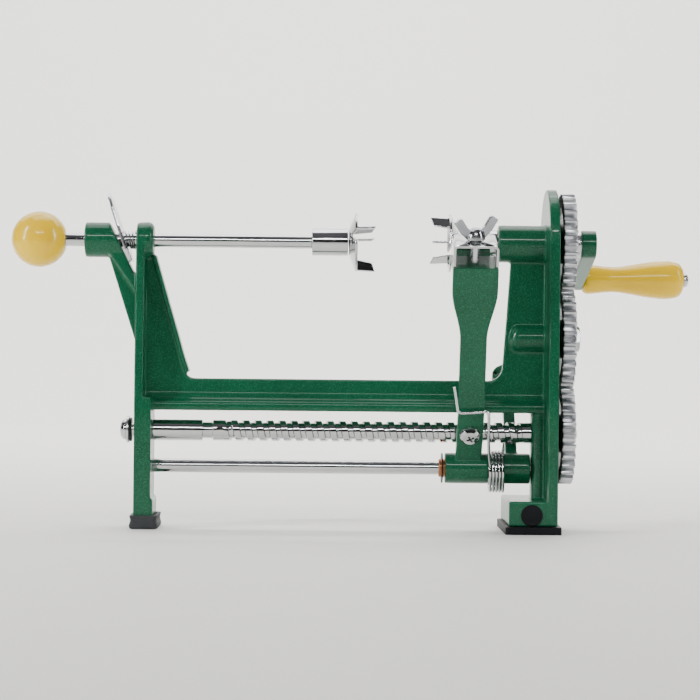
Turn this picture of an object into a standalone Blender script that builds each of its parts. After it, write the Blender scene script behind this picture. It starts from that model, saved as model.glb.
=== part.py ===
"""Crank-driven apple peeler: a fruit is held between two three-finned holders,
the crank turns one of them, and a three-gear train turns a lead screw that
carries a sprung blade arm along the fruit.

X runs along the spindle towards the crank, +Y is the rear, +Z is up.
Lengths below are millimetres; P() turns them into metres about the middle of
the footprint, with Z = 0 on the table.
"""
import bpy
import bmesh
import math
from mathutils import Matrix, Vector

MM = 0.001
X_MID, Y_MID = 21.25, 11.5       # middle of the whole footprint

# axes
SPINDLE_Z = 191.0
IDLER_Z = 128.0
SCREW_Z = 65.0
GUIDE_Z = 41.2

# gears
TEETH = 28
MODULE = 2.25
GEAR_X0, GEAR_X1 = 154.5, 163.5

# lead screw
PITCH = 8.0
THREAD_R, ROOT_R = 6.9, 5.4
THREAD_SEG = 12
THREAD_X0, THREAD_TURNS = -74.5, 25

# blade arm
ARM_X = 94.5
ARM_FOOT = (0.0, GUIDE_Z)
ARM_KNEE = (-30.0, 79.0)
ARM_TOP = (-64.0, 173.0)
ARM_LEAN = math.radians(20.0)
CLAMP_V = 11.0

# follower lever
POST_X0, POST_X1 = 119.8, 127.4

# lock lever
LEVER_FOOT = (-130.8, 176.8)
LEVER_TILT = math.radians(19.0)

GREEN = (0.022, 0.145, 0.075, 1)
YELLOW = (1.0, 0.58, 0.012, 1)
CHROME = (0.72, 0.73, 0.75, 1)
STEEL = (0.55, 0.56, 0.58, 1)
BLACK = (0.012, 0.013, 0.015, 1)
RUBBER = (0.035, 0.037, 0.04, 1)
COPPER = (0.32, 0.12, 0.05, 1)

for old in list(bpy.data.objects):
    bpy.data.objects.remove(old, do_unlink=True)

PARTS = bpy.data.collections.new("apple_peeler")
CUTTERS = bpy.data.collections.new("cutters")
for group in (PARTS, CUTTERS):
    bpy.context.scene.collection.children.link(group)


def P(x, y, z):
    return Vector(((x - X_MID) * MM, (y - Y_MID) * MM, z * MM))


ALONG_X = Matrix(((0, 0, 1), (0, 1, 0), (-1, 0, 0)))   # local z -> +X
FACE_XZ = Matrix(((1, 0, 0), (0, 0, -1), (0, 1, 0)))   # local x,y -> X,Z
FACE_YZ = Matrix(((0, 0, 1), (1, 0, 0), (0, 1, 0)))    # local x,y -> Y,Z
FACE_XY = Matrix.Identity(3)


def axis_frame(direction):
    return Vector((0, 0, 1)).rotation_difference(Vector(direction)).to_matrix()


def place(obj, at, turn):
    obj.location = at
    obj.rotation_euler = turn.to_euler()


def new_mesh(name, bm, at, turn):
    mesh = bpy.data.meshes.new(name)
    bm.to_mesh(mesh)
    bm.free()
    obj = bpy.data.objects.new(name, mesh)
    PARTS.objects.link(obj)
    place(obj, at, turn)
    return obj


def rod(name, x0, x1, r, z, y=0.0, seg=24, turn=ALONG_X, at=None, length=None):
    """A plain cylinder, along X unless turned."""
    bm = bmesh.new()
    bmesh.ops.create_cone(bm, cap_ends=True, cap_tris=False, segments=seg,
                          radius1=r * MM, radius2=r * MM,
                          depth=(length or (x1 - x0)) * MM)
    at = at if at is not None else P((x0 + x1) / 2, y, z)
    return new_mesh(name, bm, at, turn)


def block(name, x0, x1, y0, y1, z0, z1, bevel=0.0):
    bm = bmesh.new()
    bmesh.ops.create_cube(bm, size=1.0)
    bmesh.ops.scale(bm, verts=bm.verts,
                    vec=((x1 - x0) * MM, (y1 - y0) * MM, (z1 - z0) * MM))
    obj = new_mesh(name, bm, P((x0 + x1) / 2, (y0 + y1) / 2, (z0 + z1) / 2), FACE_XY)
    if bevel:
        mod = obj.modifiers.new("edges", "BEVEL")
        mod.width = bevel * MM
        mod.segments = 2
    return obj


def settle(obj):
    """Turns an object with curve data or modifiers into its plain mesh."""
    bpy.context.view_layer.update()
    graph = bpy.context.evaluated_depsgraph_get()
    mesh = bpy.data.meshes.new_from_object(obj.evaluated_get(graph))
    mesh.name = obj.name
    bm = bmesh.new()
    bm.from_mesh(mesh)
    bmesh.ops.remove_doubles(bm, verts=bm.verts, dist=2e-6)
    bm.to_mesh(mesh)
    bm.free()
    name, world = obj.name, obj.matrix_world.copy()
    bpy.data.objects.remove(obj, do_unlink=True)
    made = bpy.data.objects.new(name, mesh)
    made.matrix_world = world
    PARTS.objects.link(made)
    return made


def smooth(obj, degrees=35.0):
    obj.data.shade_smooth()
    obj.data.set_sharp_from_angle(angle=math.radians(degrees))
    return obj


def turned(name, outer, at, turn=ALONG_X, bore=None, seg=24):
    """A turned piece. outer is (position along the axis, radius) from low to
    high; bore is a radius, or a list like outer for a shaped bore."""
    down = [(r, t) for t, r in reversed(outer)]
    if bore is None:
        if down[0][0] > 0:
            down.insert(0, (0.0, down[0][1]))
        if down[-1][0] > 0:
            down.append((0.0, down[-1][1]))
        loop = False
    else:
        inner = bore if isinstance(bore, list) else [(outer[0][0], bore), (outer[-1][0], bore)]
        up = [(r, t) for t, r in inner]
        if up[-1][0] == 0.0:      # blind bore: open profile that ends on the axis
            down = [(0.0, down[0][1])] + down if down[0][0] > 0 else down
            down += up
            loop = False
        else:
            down += up
            loop = True
    mesh = bpy.data.meshes.new(name)
    verts = [(r * MM, 0, t * MM) for r, t in down]
    edges = [(i, i + 1) for i in range(len(verts) - 1)]
    if loop:
        edges.append((len(verts) - 1, 0))
    mesh.from_pydata(verts, edges, [])
    obj = bpy.data.objects.new(name, mesh)
    PARTS.objects.link(obj)
    place(obj, at, turn)
    mod = obj.modifiers.new("turn", "SCREW")
    mod.steps = mod.render_steps = seg
    mod.use_merge_vertices = True
    mod.merge_threshold = 1e-6
    return smooth(settle(obj))


def flat(name, outlines, turn, at, thick, seg=None):
    """A flat outline (and any holes in it), thick in its local Z about at."""
    curve = bpy.data.curves.new(name, "CURVE")
    curve.dimensions = "2D"
    curve.fill_mode = "BOTH"
    curve.extrude = thick / 2 * MM
    for pts in outlines:
        line = curve.splines.new("POLY")
        line.points.add(len(pts) - 1)
        for p, (a, b) in zip(line.points, pts):
            p.co = (a * MM, b * MM, 0, 1)
        line.use_cyclic_u = True
    obj = bpy.data.objects.new(name, curve)
    PARTS.objects.link(obj)
    place(obj, at, turn)
    return settle(obj)


def along_y(name, outlines, y0, y1):
    return flat(name, outlines, FACE_XZ, P(0, (y0 + y1) / 2, 0), y1 - y0)


def along_x(name, outlines, x0, x1):
    return flat(name, outlines, FACE_YZ, P((x0 + x1) / 2, 0, 0), x1 - x0)


def ring(r, seg, cx=0.0, cy=0.0, start=0.0):
    return [(cx + r * math.cos(start + 2 * math.pi * i / seg),
             cy + r * math.sin(start + 2 * math.pi * i / seg)) for i in range(seg)]


def arc(cx, cy, r, a0, a1, seg):
    return [(cx + r * math.cos(math.radians(a0 + (a1 - a0) * i / seg)),
             cy + r * math.sin(math.radians(a0 + (a1 - a0) * i / seg)))
            for i in range(seg + 1)]


def mitred(path, t0, t1):
    """Outline of a bar that follows a path, t0 to its right and t1 to its left."""
    left, right = [], []
    for i, p in enumerate(path):
        p = Vector(p)
        before = (p - Vector(path[i - 1])).normalized() if i else None
        after = (Vector(path[i + 1]) - p).normalized() if i + 1 < len(path) else None
        d = (before + after).normalized() if before and after else (before or after)
        n = Vector((-d.y, d.x))
        stretch = 1.0
        if before and after:
            stretch = 1.0 / max(0.3, n.dot(Vector((-after.y, after.x))))
        left.append(tuple(p + n * t1 * stretch))
        right.append(tuple(p - n * t0 * stretch))
    return left + right[::-1]


def rounded(points, radius, seg=4):
    """A polygon with every corner rounded by the same radius."""
    out = []
    for i, p in enumerate(points):
        a, b, c = Vector(points[i - 1]), Vector(p), Vector(points[(i + 1) % len(points)])
        u, v = (a - b).normalized(), (c - b).normalized()
        half = u.angle(v) / 2
        reach = min(radius / math.tan(half), 0.45 * min((a - b).length, (c - b).length))
        r = reach * math.tan(half)
        centre = b + (u + v).normalized() * (r / math.sin(half))
        s, e = b + u * reach - centre, b + v * reach - centre
        a0, a1 = math.atan2(s.y, s.x), math.atan2(e.y, e.x)
        while a1 - a0 > math.pi:
            a1 -= 2 * math.pi
        while a1 - a0 < -math.pi:
            a1 += 2 * math.pi
        for k in range(seg + 1):
            t = a0 + (a1 - a0) * k / seg
            out.append((centre.x + r * math.cos(t), centre.y + r * math.sin(t)))
    return out


def wire(name, points, r):
    """Round wire through points (mm, datum)."""
    curve = bpy.data.curves.new(name, "CURVE")
    curve.dimensions = "3D"
    curve.bevel_depth = r * MM
    curve.bevel_resolution = 2
    curve.use_fill_caps = True
    line = curve.splines.new("POLY")
    line.points.add(len(points) - 1)
    for p, q in zip(line.points, points):
        p.co = (*P(*q), 1)
    obj = bpy.data.objects.new(name, curve)
    PARTS.objects.link(obj)
    return settle(obj)


def combine(target, others, operation):
    for other in others:
        mod = target.modifiers.new(other.name, "BOOLEAN")
        mod.operation = operation
        mod.solver = "EXACT"
        mod.object = other
        PARTS.objects.unlink(other)
        CUTTERS.objects.link(other)
        other.hide_render = True
        other.display_type = "WIRE"
    return target


def unite(target, *others):
    return combine(target, others, "UNION")


def cut(target, *others):
    return combine(target, others, "DIFFERENCE")


def finish(obj, colour, rough, metal, body, slot=None):
    mat = bpy.data.materials.new(obj.name)
    mat.use_nodes = True
    shader = mat.node_tree.nodes["Principled BSDF"]
    shader.inputs["Base Color"].default_value = colour
    shader.inputs["Roughness"].default_value = rough
    shader.inputs["Metallic"].default_value = metal
    obj.data.materials.clear()
    obj.data.materials.append(mat)
    obj.parent = body
    obj.matrix_parent_inverse = body.matrix_world.inverted()
    return obj


def body_at(name, at, parent=None):
    empty = bpy.data.objects.new(name, None)
    PARTS.objects.link(empty)
    empty.empty_display_size = 0.01
    if parent is None:
        empty.location = at
    else:
        bpy.context.view_layer.update()
        empty.parent = parent
        empty.location = at - parent.matrix_world.translation
    bpy.context.view_layer.update()
    return empty


# One empty for each moving body, on its joint's axis.
FRAME = body_at("body_frame", P(0, 0, 0))
DRIVE = body_at("body_drive", P(150, 0, SPINDLE_Z), FRAME)
HANDLE_Y, HANDLE_Z = 80.0, 170.5
GRIP = body_at("body_grip", P(214, HANDLE_Y, HANDLE_Z), DRIVE)
IDLER = body_at("body_idler", P(159, 0, IDLER_Z), FRAME)
SCREW = body_at("body_lead_screw", P(159, 0, SCREW_Z), FRAME)
CARRIAGE = body_at("body_carriage", P(105, 0, GUIDE_Z), FRAME)
ARM = body_at("body_arm", P(ARM_X, 0, GUIDE_Z), CARRIAGE)
FOLLOWER = body_at("body_follower", P(122.5, 0, GUIDE_Z), CARRIAGE)
FEED = body_at("body_feed_rod", P(0, 0, SPINDLE_Z), FRAME)
TAIL = body_at("body_tail", P(0, 0, SPINDLE_Z), FEED)
LEVER = body_at("body_lock_lever", P(LEVER_FOOT[0], 0, LEVER_FOOT[1]), FRAME)

# ---------------------------------------------------------------- casting
SLOPE_TOP, SLOPE_END = (-145.3, 202.9), (-127.6, 167.5)

web = [(-124, 82), (-124, 185), (-117.5, 185), (-107.8, 151), (-101.9, 131), (-96.6, 112.5)]
web += arc(-87.5, 107.5, 8.0, 195, 270, 5)
web += arc(107.0, 109.5, 10.0, -90, -4, 5)
web += [(119.2, 140), (121.8, 180), (147, 180), (147, 82)]
main_frame = along_y("main_frame", [web], -3, 3)

flange = [(-10, 78.4), (10, 78.4), (10, 83.4), (7.5, 85.6), (3.6, 88.4),
          (-3.6, 88.4), (-7.5, 85.6), (-10, 83.4)]
beam_flange = along_x("beam_flange", [flange], -123, 148)

left_up = arc(0, SPINDLE_Z, 11.6, 0, 180, 8) + [(-18, 86), (18, 86)]
left_plate = along_x("left_plate", [left_up], -127, -121.2)
left_leg = along_x("left_leg", [[(-18, 3.3), (18, 3.3), (18, 87), (-18, 87)]], -126.8, -116)
left_toe = block("left_toe", -126.6, -114.2, -17.8, 17.8, 3.5, 20)
left_boss = rod("left_boss", -126.8, -115.7, 12, SPINDLE_Z, seg=32)
gusset = along_y("gusset", [mitred([(-115.2, 181), (-106.6, 151), (-100.7, 131),
                                    (-95.4, 112.5), (-92.4, 103.6)], 1.3, 1.3)], -7, 7)
tail_boss = rod("tail_boss", -161.4, -134, 11.5, SPINDLE_Z, seg=32)
tail_slope = cut(tail_boss, along_y("slope_cut", [[SLOPE_TOP, (-150.3, 212.9), (-129, 213),
                                                   (-127.3, 167)]], -16, 16))
tail_slope = settle(tail_boss)
bracket_rib = along_y("bracket_rib", [[(-149.0, 187.5), (-142.1, 196.4), (-127.6, 167.3),
                                       (-124, 161), (-124, 151)]], -8.5, 8.5)
bracket_web = along_y("bracket_web", [[(-147, 184), (-128, 124.5), (-124, 118),
                                       (-124, 164), (-140, 185)]], -2.6, 2.6)

plate_out = arc(0, SPINDLE_Z, 36.3, 0, 180, 20) + [(-36, 5.4), (36, 5.4)]
right_plate = along_x("right_plate", [plate_out], 145, 151.5)
drive_boss = rod("drive_boss", 113.3, 149, 12.25, SPINDLE_Z, seg=32)
idler_boss = turned("idler_boss", [(121, 0.0), (121.4, 4.0), (123.2, 7.4), (126, 9.0),
                                   (148, 9.0)], P(0, 0, IDLER_Z))
column = flat("column", [rounded([(136.5, -9), (147, -9), (147, 9), (136.5, 9)], 4.5)],
              FACE_XY, P(0, 0, 51), 66)
foot_block = block("foot_block", 119.7, 149.6, -35, 35, 5.3, 21.4, bevel=2.0)
pads = [rod(f"pad_{int(z)}", 150.5, 154.2, 10.5, z) for z in (SPINDLE_Z, IDLER_Z, SCREW_Z)]

unite(main_frame, beam_flange, left_plate, left_leg, left_toe, left_boss, gusset,
      tail_slope, bracket_rib, bracket_web, right_plate, drive_boss,
      idler_boss, column, foot_block, *pads)
cut(main_frame,
    rod("rod_hole", -165, -110, 4.9, SPINDLE_Z),
    rod("spindle_hole", 110, 156, 6.3, SPINDLE_Z),
    rod("idler_hole", 129, 156, 5.3, IDLER_Z),
    rod("screw_hole_right", 130, 156, 5.5, SCREW_Z),
    rod("screw_hole_left", -130, -110, 4.9, SCREW_Z),
    rod("guide_hole_right", 130, 146, 4.8, GUIDE_Z),
    rod("guide_hole_left", -123.6, -110, 4.8, GUIDE_Z),
    rod("plug_hole", 0, 0, 7.4, 0, at=P(134.6, -35, 12.4), length=9, turn=FACE_XZ))
finish(main_frame, GREEN, 0.3, 0.0, FRAME)

# ---------------------------------------------------------------- feet, rods
boot = block("left_foot_boot", -129.4, -110.6, -20.6, 20.6, 0, 9, bevel=1.2)
cut(boot, block("boot_pocket", -127.2, -113.8, -18.4, 18.4, 3.0, 12))
finish(boot, RUBBER, 0.7, 0.0, FRAME)
finish(block("right_foot_pad", 117.3, 154, -38, 38, 0, 5.0, bevel=1.2), BLACK, 0.6, 0.0, FRAME)
finish(rod("foot_plug", 0, 0, 7.1, 0, at=P(134.6, -33.4, 12.4), length=4.6, turn=FACE_XZ),
       BLACK, 0.5, 0.0, FRAME)
finish(smooth(rod("guide_rod", -123.2, 145.6, 4.5, GUIDE_Z)), CHROME, 0.15, 1.0, FRAME)
bolt = turned("idler_bolt", [(129.4, 5.0), (164.0, 5.0), (164.0, 9.0), (166.6, 9.0),
                             (168.0, 6.5)], P(0, 0, IDLER_Z))
finish(bolt, STEEL, 0.25, 1.0, FRAME)

# ---------------------------------------------------------------- gears
ROOT, TIP = MODULE * TEETH / 2 - 2.75, MODULE * TEETH / 2 + 2.15


def tooth_half_angle(r, thick=3.25):
    """Half the angle of a 20 degree involute tooth at radius r."""
    pitch_r = MODULE * TEETH / 2
    base = pitch_r * math.cos(math.radians(20))
    inv = lambda a: math.tan(a) - a
    return thick / (2 * pitch_r) + inv(math.radians(20)) - inv(math.acos(min(1.0, base / r)))


def gear(name, z, bore, phase, body):
    step = 2 * math.pi / TEETH
    pts = []
    for i in range(TEETH):
        mid = (i + phase) * step
        for r, side in ((ROOT, -1), (30.3, -1), (32.2, -1), (TIP, -1),
                        (TIP, 1), (32.2, 1), (30.3, 1), (ROOT, 1)):
            a = mid + side * tooth_half_angle(r)
            pts.append((r * math.cos(a), r * math.sin(a)))
    obj = flat(name, [pts, ring(bore, 20)], FACE_YZ,
               P((GEAR_X0 + GEAR_X1) / 2, 0, z), GEAR_X1 - GEAR_X0)
    return finish(obj, STEEL, 0.3, 1.0, body)


gear("top_gear", SPINDLE_Z, 6.35, 0.0, DRIVE)
gear("idler_gear", IDLER_Z, 5.35, 0.5, IDLER)
gear("bottom_gear", SCREW_Z, 5.35, 0.0, SCREW)

# ---------------------------------------------------------------- drive
finish(smooth(rod("drive_spindle", 93, 176.2, 6.0, SPINDLE_Z)), STEEL, 0.25, 1.0, DRIVE)
finish(turned("drive_hub", [(86.2, 8.0), (87.2, 9.0), (112.8, 9.0)], P(0, 0, SPINDLE_Z),
              bore=[(86.2, 3.0), (92.4, 3.0), (92.5, 6.3), (112.8, 6.3)]),
       CHROME, 0.12, 1.0, DRIVE)


def prong_plate(name, mirror, x_hub, angles, body):
    """A dished plate with three fins bent out of it; mirror is +1 where the
    fins point to +X."""
    m = mirror
    # closed ring profile: back face out, rim, front face in, centre hole
    outer = [(0.0, 6.0), (0.0, 9.0), (4.2, 19.0)]
    inner = [(1.5, 2.9), (1.5, 8.6), (5.7, 18.4)]
    mesh = bpy.data.meshes.new(name)
    back = [(0.0, 2.9)] + outer
    front = [inner[2], inner[1], inner[0]]
    loop = back + [(5.2, 19.4)] + front
    loop = [(r, t) for t, r in loop]
    if m > 0:
        loop = loop[::-1]
    else:
        loop = [(r, -t) for r, t in loop]
    verts = [(r * MM, 0, t * MM) for r, t in loop]
    mesh.from_pydata(verts, [(i, (i + 1) % len(verts)) for i in range(len(verts))], [])
    plate = bpy.data.objects.new(name, mesh)
    PARTS.objects.link(plate)
    place(plate, P(x_hub, 0, SPINDLE_Z), ALONG_X)
    mod = plate.modifiers.new("turn", "SCREW")
    mod.steps = mod.render_steps = 30
    mod.use_merge_vertices = True
    mod.merge_threshold = 1e-6
    plate = settle(plate)
    fins, slots = [], []
    for i, deg in enumerate(angles):
        a = math.radians(deg)
        spin = Matrix.Rotation(a, 3, "X")
        fin = [(2.0, 10.7), (4.9, 18.9), (17.5, 19.6), (15.3, 13.4)]
        pts = [(m * x, r) for x, r in fin]
        fins.append(flat(f"{name}_fin{i}", [pts], spin @ FACE_XZ, P(x_hub, 0, SPINDLE_Z), 1.5))
        slot = [(-3, 11.0), (9, 11.0), (9, 24), (-3, 24)]
        pts = [(m * x, r) for x, r in slot]
        shift = spin @ Vector((0, -4.7 * MM, 0))
        slots.append(flat(f"{name}_slot{i}", [pts], spin @ FACE_XZ,
                          P(x_hub, 0, SPINDLE_Z) + shift, 7.4))
    cut(plate, *slots)
    unite(plate, *fins)
    return finish(smooth(settle(plate), 25), CHROME, 0.15, 1.0, body)


prong_plate("drive_prong_plate", -1, 85.9, (90, 229, 333), DRIVE)
finish(turned("spindle_spacer", [(163.8, 8.5), (168.5, 8.5)], P(0, 0, SPINDLE_Z), bore=6.3),
       STEEL, 0.3, 1.0, DRIVE)

# crank: from the spindle backwards and down to the handle
reach = math.hypot(HANDLE_Y, HANDLE_Z - SPINDLE_Z)
fall = math.degrees(math.atan2(HANDLE_Z - SPINDLE_Z, HANDLE_Y))
crank_out = [(y, z + SPINDLE_Z) for y, z in arc(0, 0, 9.2, 90 + fall, 270 + fall, 8)]
crank_out += [(y, z) for y, z in arc(HANDLE_Y, HANDLE_Z, 7.6, -90 + fall, 90 + fall, 8)]
crank = along_x("crank_arm", [crank_out], 168.8, 178.5)
edge = crank.modifiers.new("edges", "BEVEL")
edge.width = 1.2 * MM
edge.segments = 2
edge.limit_method = "ANGLE"
cut(crank, rod("crank_bore", 160, 176.5, 6.3, SPINDLE_Z),
    rod("crank_thread", 169.9, 182, 3.3, HANDLE_Z, y=HANDLE_Y))
finish(crank, GREEN, 0.3, 0.0, DRIVE)
finish(turned("handle_bolt", [(170.3, 3.0), (249.9, 3.0), (249.9, 5.0), (252.0, 5.0),
                              (253.0, 3.6)], P(0, HANDLE_Y, HANDLE_Z), seg=16),
       STEEL, 0.3, 1.0, DRIVE)
grip = [(178.9, 7.6), (180.0, 9.4), (183.0, 10.3), (189.0, 9.7), (197.0, 8.9), (203.0, 8.9),
        (213.0, 10.4), (225.0, 12.4), (236.0, 13.3), (243.0, 12.9), (247.2, 11.0), (249.3, 7.2)]
finish(turned("handle_grip", grip, P(0, HANDLE_Y, HANDLE_Z), bore=3.3), YELLOW, 0.2, 0.0, GRIP)

# ---------------------------------------------------------------- lead screw
def lead_screw():
    """A rod with a right-hand square groove: rows of one pitch's profile turned
    and advanced together, closed by the plain ends."""
    seg, n = THREAD_SEG, THREAD_TURNS * THREAD_SEG
    # crest, flank, root, flank: offsets along one pitch
    crest, slope = 4.2, 0.4
    offs = [(0.0, THREAD_R), (crest, THREAD_R), (crest + slope, ROOT_R),
            (PITCH - slope, ROOT_R)]
    bm = bmesh.new()
    start = math.radians(139) + math.pi   # puts a groove under the follower pin

    def vert(x, r, i):
        a = start + 2 * math.pi * i / seg
        return bm.verts.new(((x - X_MID) * MM, (r * math.cos(a) - Y_MID) * MM,
                             (SCREW_Z + r * math.sin(a)) * MM))

    rows = [[vert(THREAD_X0 + PITCH * i / seg + o, r, i) for o, r in offs]
            for i in range(n + 1)]
    last = [rows[n][0]] + [vert(THREAD_X0 + PITCH * (n + i) / seg, THREAD_R, i)
                           for i in range(1, seg + 1)]

    def corner(i, k):
        if k < 4:
            return rows[i][k]
        return rows[i + seg][0] if i + seg <= n else last[i + seg - n]

    for i in range(n):
        for k in range(4):
            bm.faces.new((corner(i, k), corner(i + 1, k), corner(i + 1, k + 1), corner(i, k + 1)))

    def circle(x, r):
        return [vert(x, r, i) for i in range(seg)]

    def band(a, b):
        for i in range(seg):
            j = (i + 1) % seg
            bm.faces.new((a[i], a[j], b[j], b[i]))

    # left: run-out collar, neck, plain bearing, journal, end face
    c0 = circle(THREAD_X0 - 0.8, THREAD_R)
    for i in range(seg):
        bm.faces.new((c0[i], c0[(i + 1) % seg], rows[i + 1][0], rows[i][0]))
    bm.faces.new([c0[0]] + rows[0] + [rows[seg][0]])
    left = [circle(THREAD_X0 - 0.8, ROOT_R), circle(-82.2, ROOT_R), circle(-82.4, 7.0),
            circle(-115.4, 7.0), circle(-115.4, 4.5), circle(-129.1, 4.5)]
    chain = [c0] + left
    for b, a in zip(chain, chain[1:]):
        band(a, b)
    bm.faces.new(left[-1][::-1])
    # right: run-out, plain bearing, journal with the gear's seat, end face
    end_x = THREAD_X0 + PITCH * (n + seg) / seg + 0.8
    c1 = circle(end_x, THREAD_R)
    for i in range(seg):
        bm.faces.new((last[i], last[i + 1], c1[(i + 1) % seg], c1[i]))
    bm.faces.new([c1[0]] + rows[n] + [last[seg]])
    right = [circle(136.2, 6.9), circle(136.2, 5.0), circle(163.6, 5.0)]
    chain = [c1] + right
    for a, b in zip(chain, chain[1:]):
        band(a, b)
    bm.faces.new(right[-1])
    bmesh.ops.recalc_face_normals(bm, faces=bm.faces)
    bmesh.ops.translate(bm, verts=bm.verts, vec=-P(0, 0, SCREW_Z))
    return new_mesh("lead_screw", bm, P(0, 0, SCREW_Z), FACE_XY)


finish(smooth(lead_screw(), 40), CHROME, 0.15, 1.0, SCREW)
finish(turned("gear_screw", [(164.0, 5.9), (165.4, 5.6), (166.7, 4.2), (167.4, 1.8)],
              P(0, 0, SCREW_Z), seg=20), CHROME, 0.15, 1.0, SCREW)
finish(turned("end_washer", [(-132.6, 8.9), (-129.5, 8.9)], P(0, 0, SCREW_Z), bore=2.6, seg=20),
       STEEL, 0.3, 1.0, SCREW)
finish(turned("end_screw", [(-137.3, 1.8), (-136.6, 4.8), (-135.0, 6.6), (-133.0, 7.0)],
              P(0, 0, SCREW_Z), seg=20), CHROME, 0.15, 1.0, SCREW)

# ---------------------------------------------------------------- carriage
finish(turned("carriage_bush", [(75.1, 6.0), (135.9, 6.0)], P(0, 0, GUIDE_Z), bore=4.8, seg=20),
       COPPER, 0.4, 0.8, CARRIAGE)
finish(turned("bush_washer", [(76.8, 10.0), (77.7, 10.0)], P(0, 0, GUIDE_Z), bore=6.3, seg=20),
       BLACK, 0.4, 0.3, CARRIAGE)

# torsion spring: coils hang on the sleeves, one leg crosses the arm's front,
# the other bears on the back of the follower lever
COIL_Z, COIL_R, WIRE_R = 39.3, 13.2, 0.98
turns, per = 4.6, 12
count = int(turns * per)
coil = []
for i in range(count + 1):
    a = math.radians(160) + 2 * math.pi * i / per
    coil.append((108.6 + 9.8 * i / count, COIL_R * math.cos(a), COIL_Z + COIL_R * math.sin(a)))
leg1 = [(82.7, -42.5, 95.8), (83.9, -40.6, 90.0), (85.6, -37.2, 80.6), (87.0, -36.4, 79.3),
        (89.0, -36.2, 79.0), (97.0, -36.2, 79.4), (103.4, -36.2, 79.8), (105.4, -35.6, 79.0),
        (106.0, -34.2, 76.6), (106.6, -25.5, 62.0), (107.6, -16.8, 50.2)]
leg2 = [(118.8, 16.2, 46.0), (119.6, 18.6, 53.0), (120.8, 21.2, 59.0), (121.4, 23.6, 63.0)]
finish(wire("torsion_spring", leg1 + coil + leg2, WIRE_R), CHROME, 0.2, 1.0, CARRIAGE)

# ---------------------------------------------------------------- follower lever
post_line = [(2.0, 47.0), (10.8, 57.6), (29.0, 79.0), (46.5, 99.6)]
follower = along_x("thread_follower", [mitred(post_line, 4.0, 4.0)], POST_X0, POST_X1)
lean = math.atan2(46.5 - 29.0, 99.6 - 79.0)
thumb_turn = Matrix.Rotation(-lean, 3, "X") @ FACE_XZ
thumb = rod("thumb", 0, 0, 8.8, 0, at=P(122.5, 48.0, 101.4), length=6.4, turn=thumb_turn)
sleeve = rod("follower_sleeve", 108.5, 135.7, 10.0, GUIDE_Z, seg=28)
unite(follower, thumb, sleeve)
PIN_DIR = Vector((0, -0.7547, 0.6561))
pin_foot = P(123.6, 0, SCREW_Z) - PIN_DIR * 12.7 * MM
cut(follower, rod("follower_bore", 100, 140, 6.3, GUIDE_Z),
    rod("pin_hole", 0, 0, 2.8, 0, at=pin_foot + PIN_DIR * 2.5 * MM, length=8,
        turn=axis_frame(PIN_DIR), seg=16),
    rod("thumb_eye", 0, 0, 1.3, 0, at=P(116.3, 48.0, 103.0), length=12, turn=thumb_turn, seg=12))
finish(follower, GREEN, 0.3, 0.0, FOLLOWER)
finish(turned("follower_pin", [(-1.0, 2.4), (4.6, 2.4), (4.7, 1.15), (6.9, 1.15)], pin_foot,
              turn=axis_frame(PIN_DIR), seg=14), STEEL, 0.3, 1.0, FOLLOWER)

# ---------------------------------------------------------------- blade arm
V = Vector((0, math.cos(ARM_LEAN), math.sin(ARM_LEAN)))      # rearwards along the holder
U = Vector((0, -math.sin(ARM_LEAN), math.cos(ARM_LEAN)))     # up along the arm
TOP = P(ARM_X, *ARM_TOP)


def at_top(v, u):
    """A point in the arm's own plane, as (Y, Z)."""
    return (ARM_TOP[0] + v * V.y + u * U.y, ARM_TOP[1] + v * V.z + u * U.z)


foot = (ARM_FOOT[0] - 0.616 * 6, ARM_FOOT[1] + 0.788 * 6)
arm = along_x("blade_arm", [mitred([foot, ARM_KNEE, at_top(0, 0)], 3, 3)], 79.8, 109.2)
half = lambda z: 8.6 + 6.1 * (lambda t: t * t * (3 - 2 * t))(min(1, max(0, (z - 128) / 30)))
zs = [30] + [128 + 3 * i for i in range(11)] + [185]
outline = [(ARM_X - half(z), z) for z in zs] + [(ARM_X + half(z), z) for z in reversed(zs)]
combine(arm, [along_y("arm_outline", [outline], -95, 12)], "INTERSECT")
platform = along_x("platform", [[at_top(-2.9, -6), at_top(-2.9, 0), at_top(24, 0),
                                 at_top(24, -5), at_top(6, -5), at_top(2.9, -9)]], 79.9, 109.1)
arm_sleeve = rod("arm_sleeve", 79.3, 107.9, 10.0, GUIDE_Z, seg=28)
screw_at = P(ARM_X, -19.8, 66.5)
N_LOW = Vector((0, -0.788, -0.616))
unite(arm, platform, arm_sleeve)
cut(arm, rod("arm_bore", 70, 120, 6.3, GUIDE_Z),
    rod("clamp_hole", 0, 0, 3.1, 0, at=TOP + V * CLAMP_V * MM - U * 3 * MM, length=14,
        turn=axis_frame(U), seg=16),
    rod("arm_screw_hole", 0, 0, 2.8, 0, at=screw_at, length=14, turn=axis_frame(N_LOW), seg=16))
finish(arm, GREEN, 0.3, 0.0, ARM)
head = turned("arm_screw", [(-2.8, 2.5), (3.3, 2.5), (3.3, 6.9), (6.0, 6.7), (7.5, 5.4),
                            (8.2, 3.0)], screw_at, turn=axis_frame(N_LOW), seg=20)
cross = axis_frame(N_LOW)
for i, a in enumerate((0, 90)):
    bar = block(f"cross_{i}", 0, 5.6, 0, 1.3, 0, 4.0)
    place(bar, screw_at + N_LOW * 7.6 * MM, cross @ Matrix.Rotation(math.radians(a + 20), 3, "Z"))
    cut(head, bar)
finish(head, CHROME, 0.15, 1.0, ARM)
finish(turned("clamp_bolt", [(-9.2, 4.6), (-5.4, 4.6), (-5.4, 2.75), (19.0, 2.75)],
              TOP + V * CLAMP_V * MM, turn=axis_frame(U), seg=16), STEEL, 0.2, 1.0, ARM)

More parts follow.
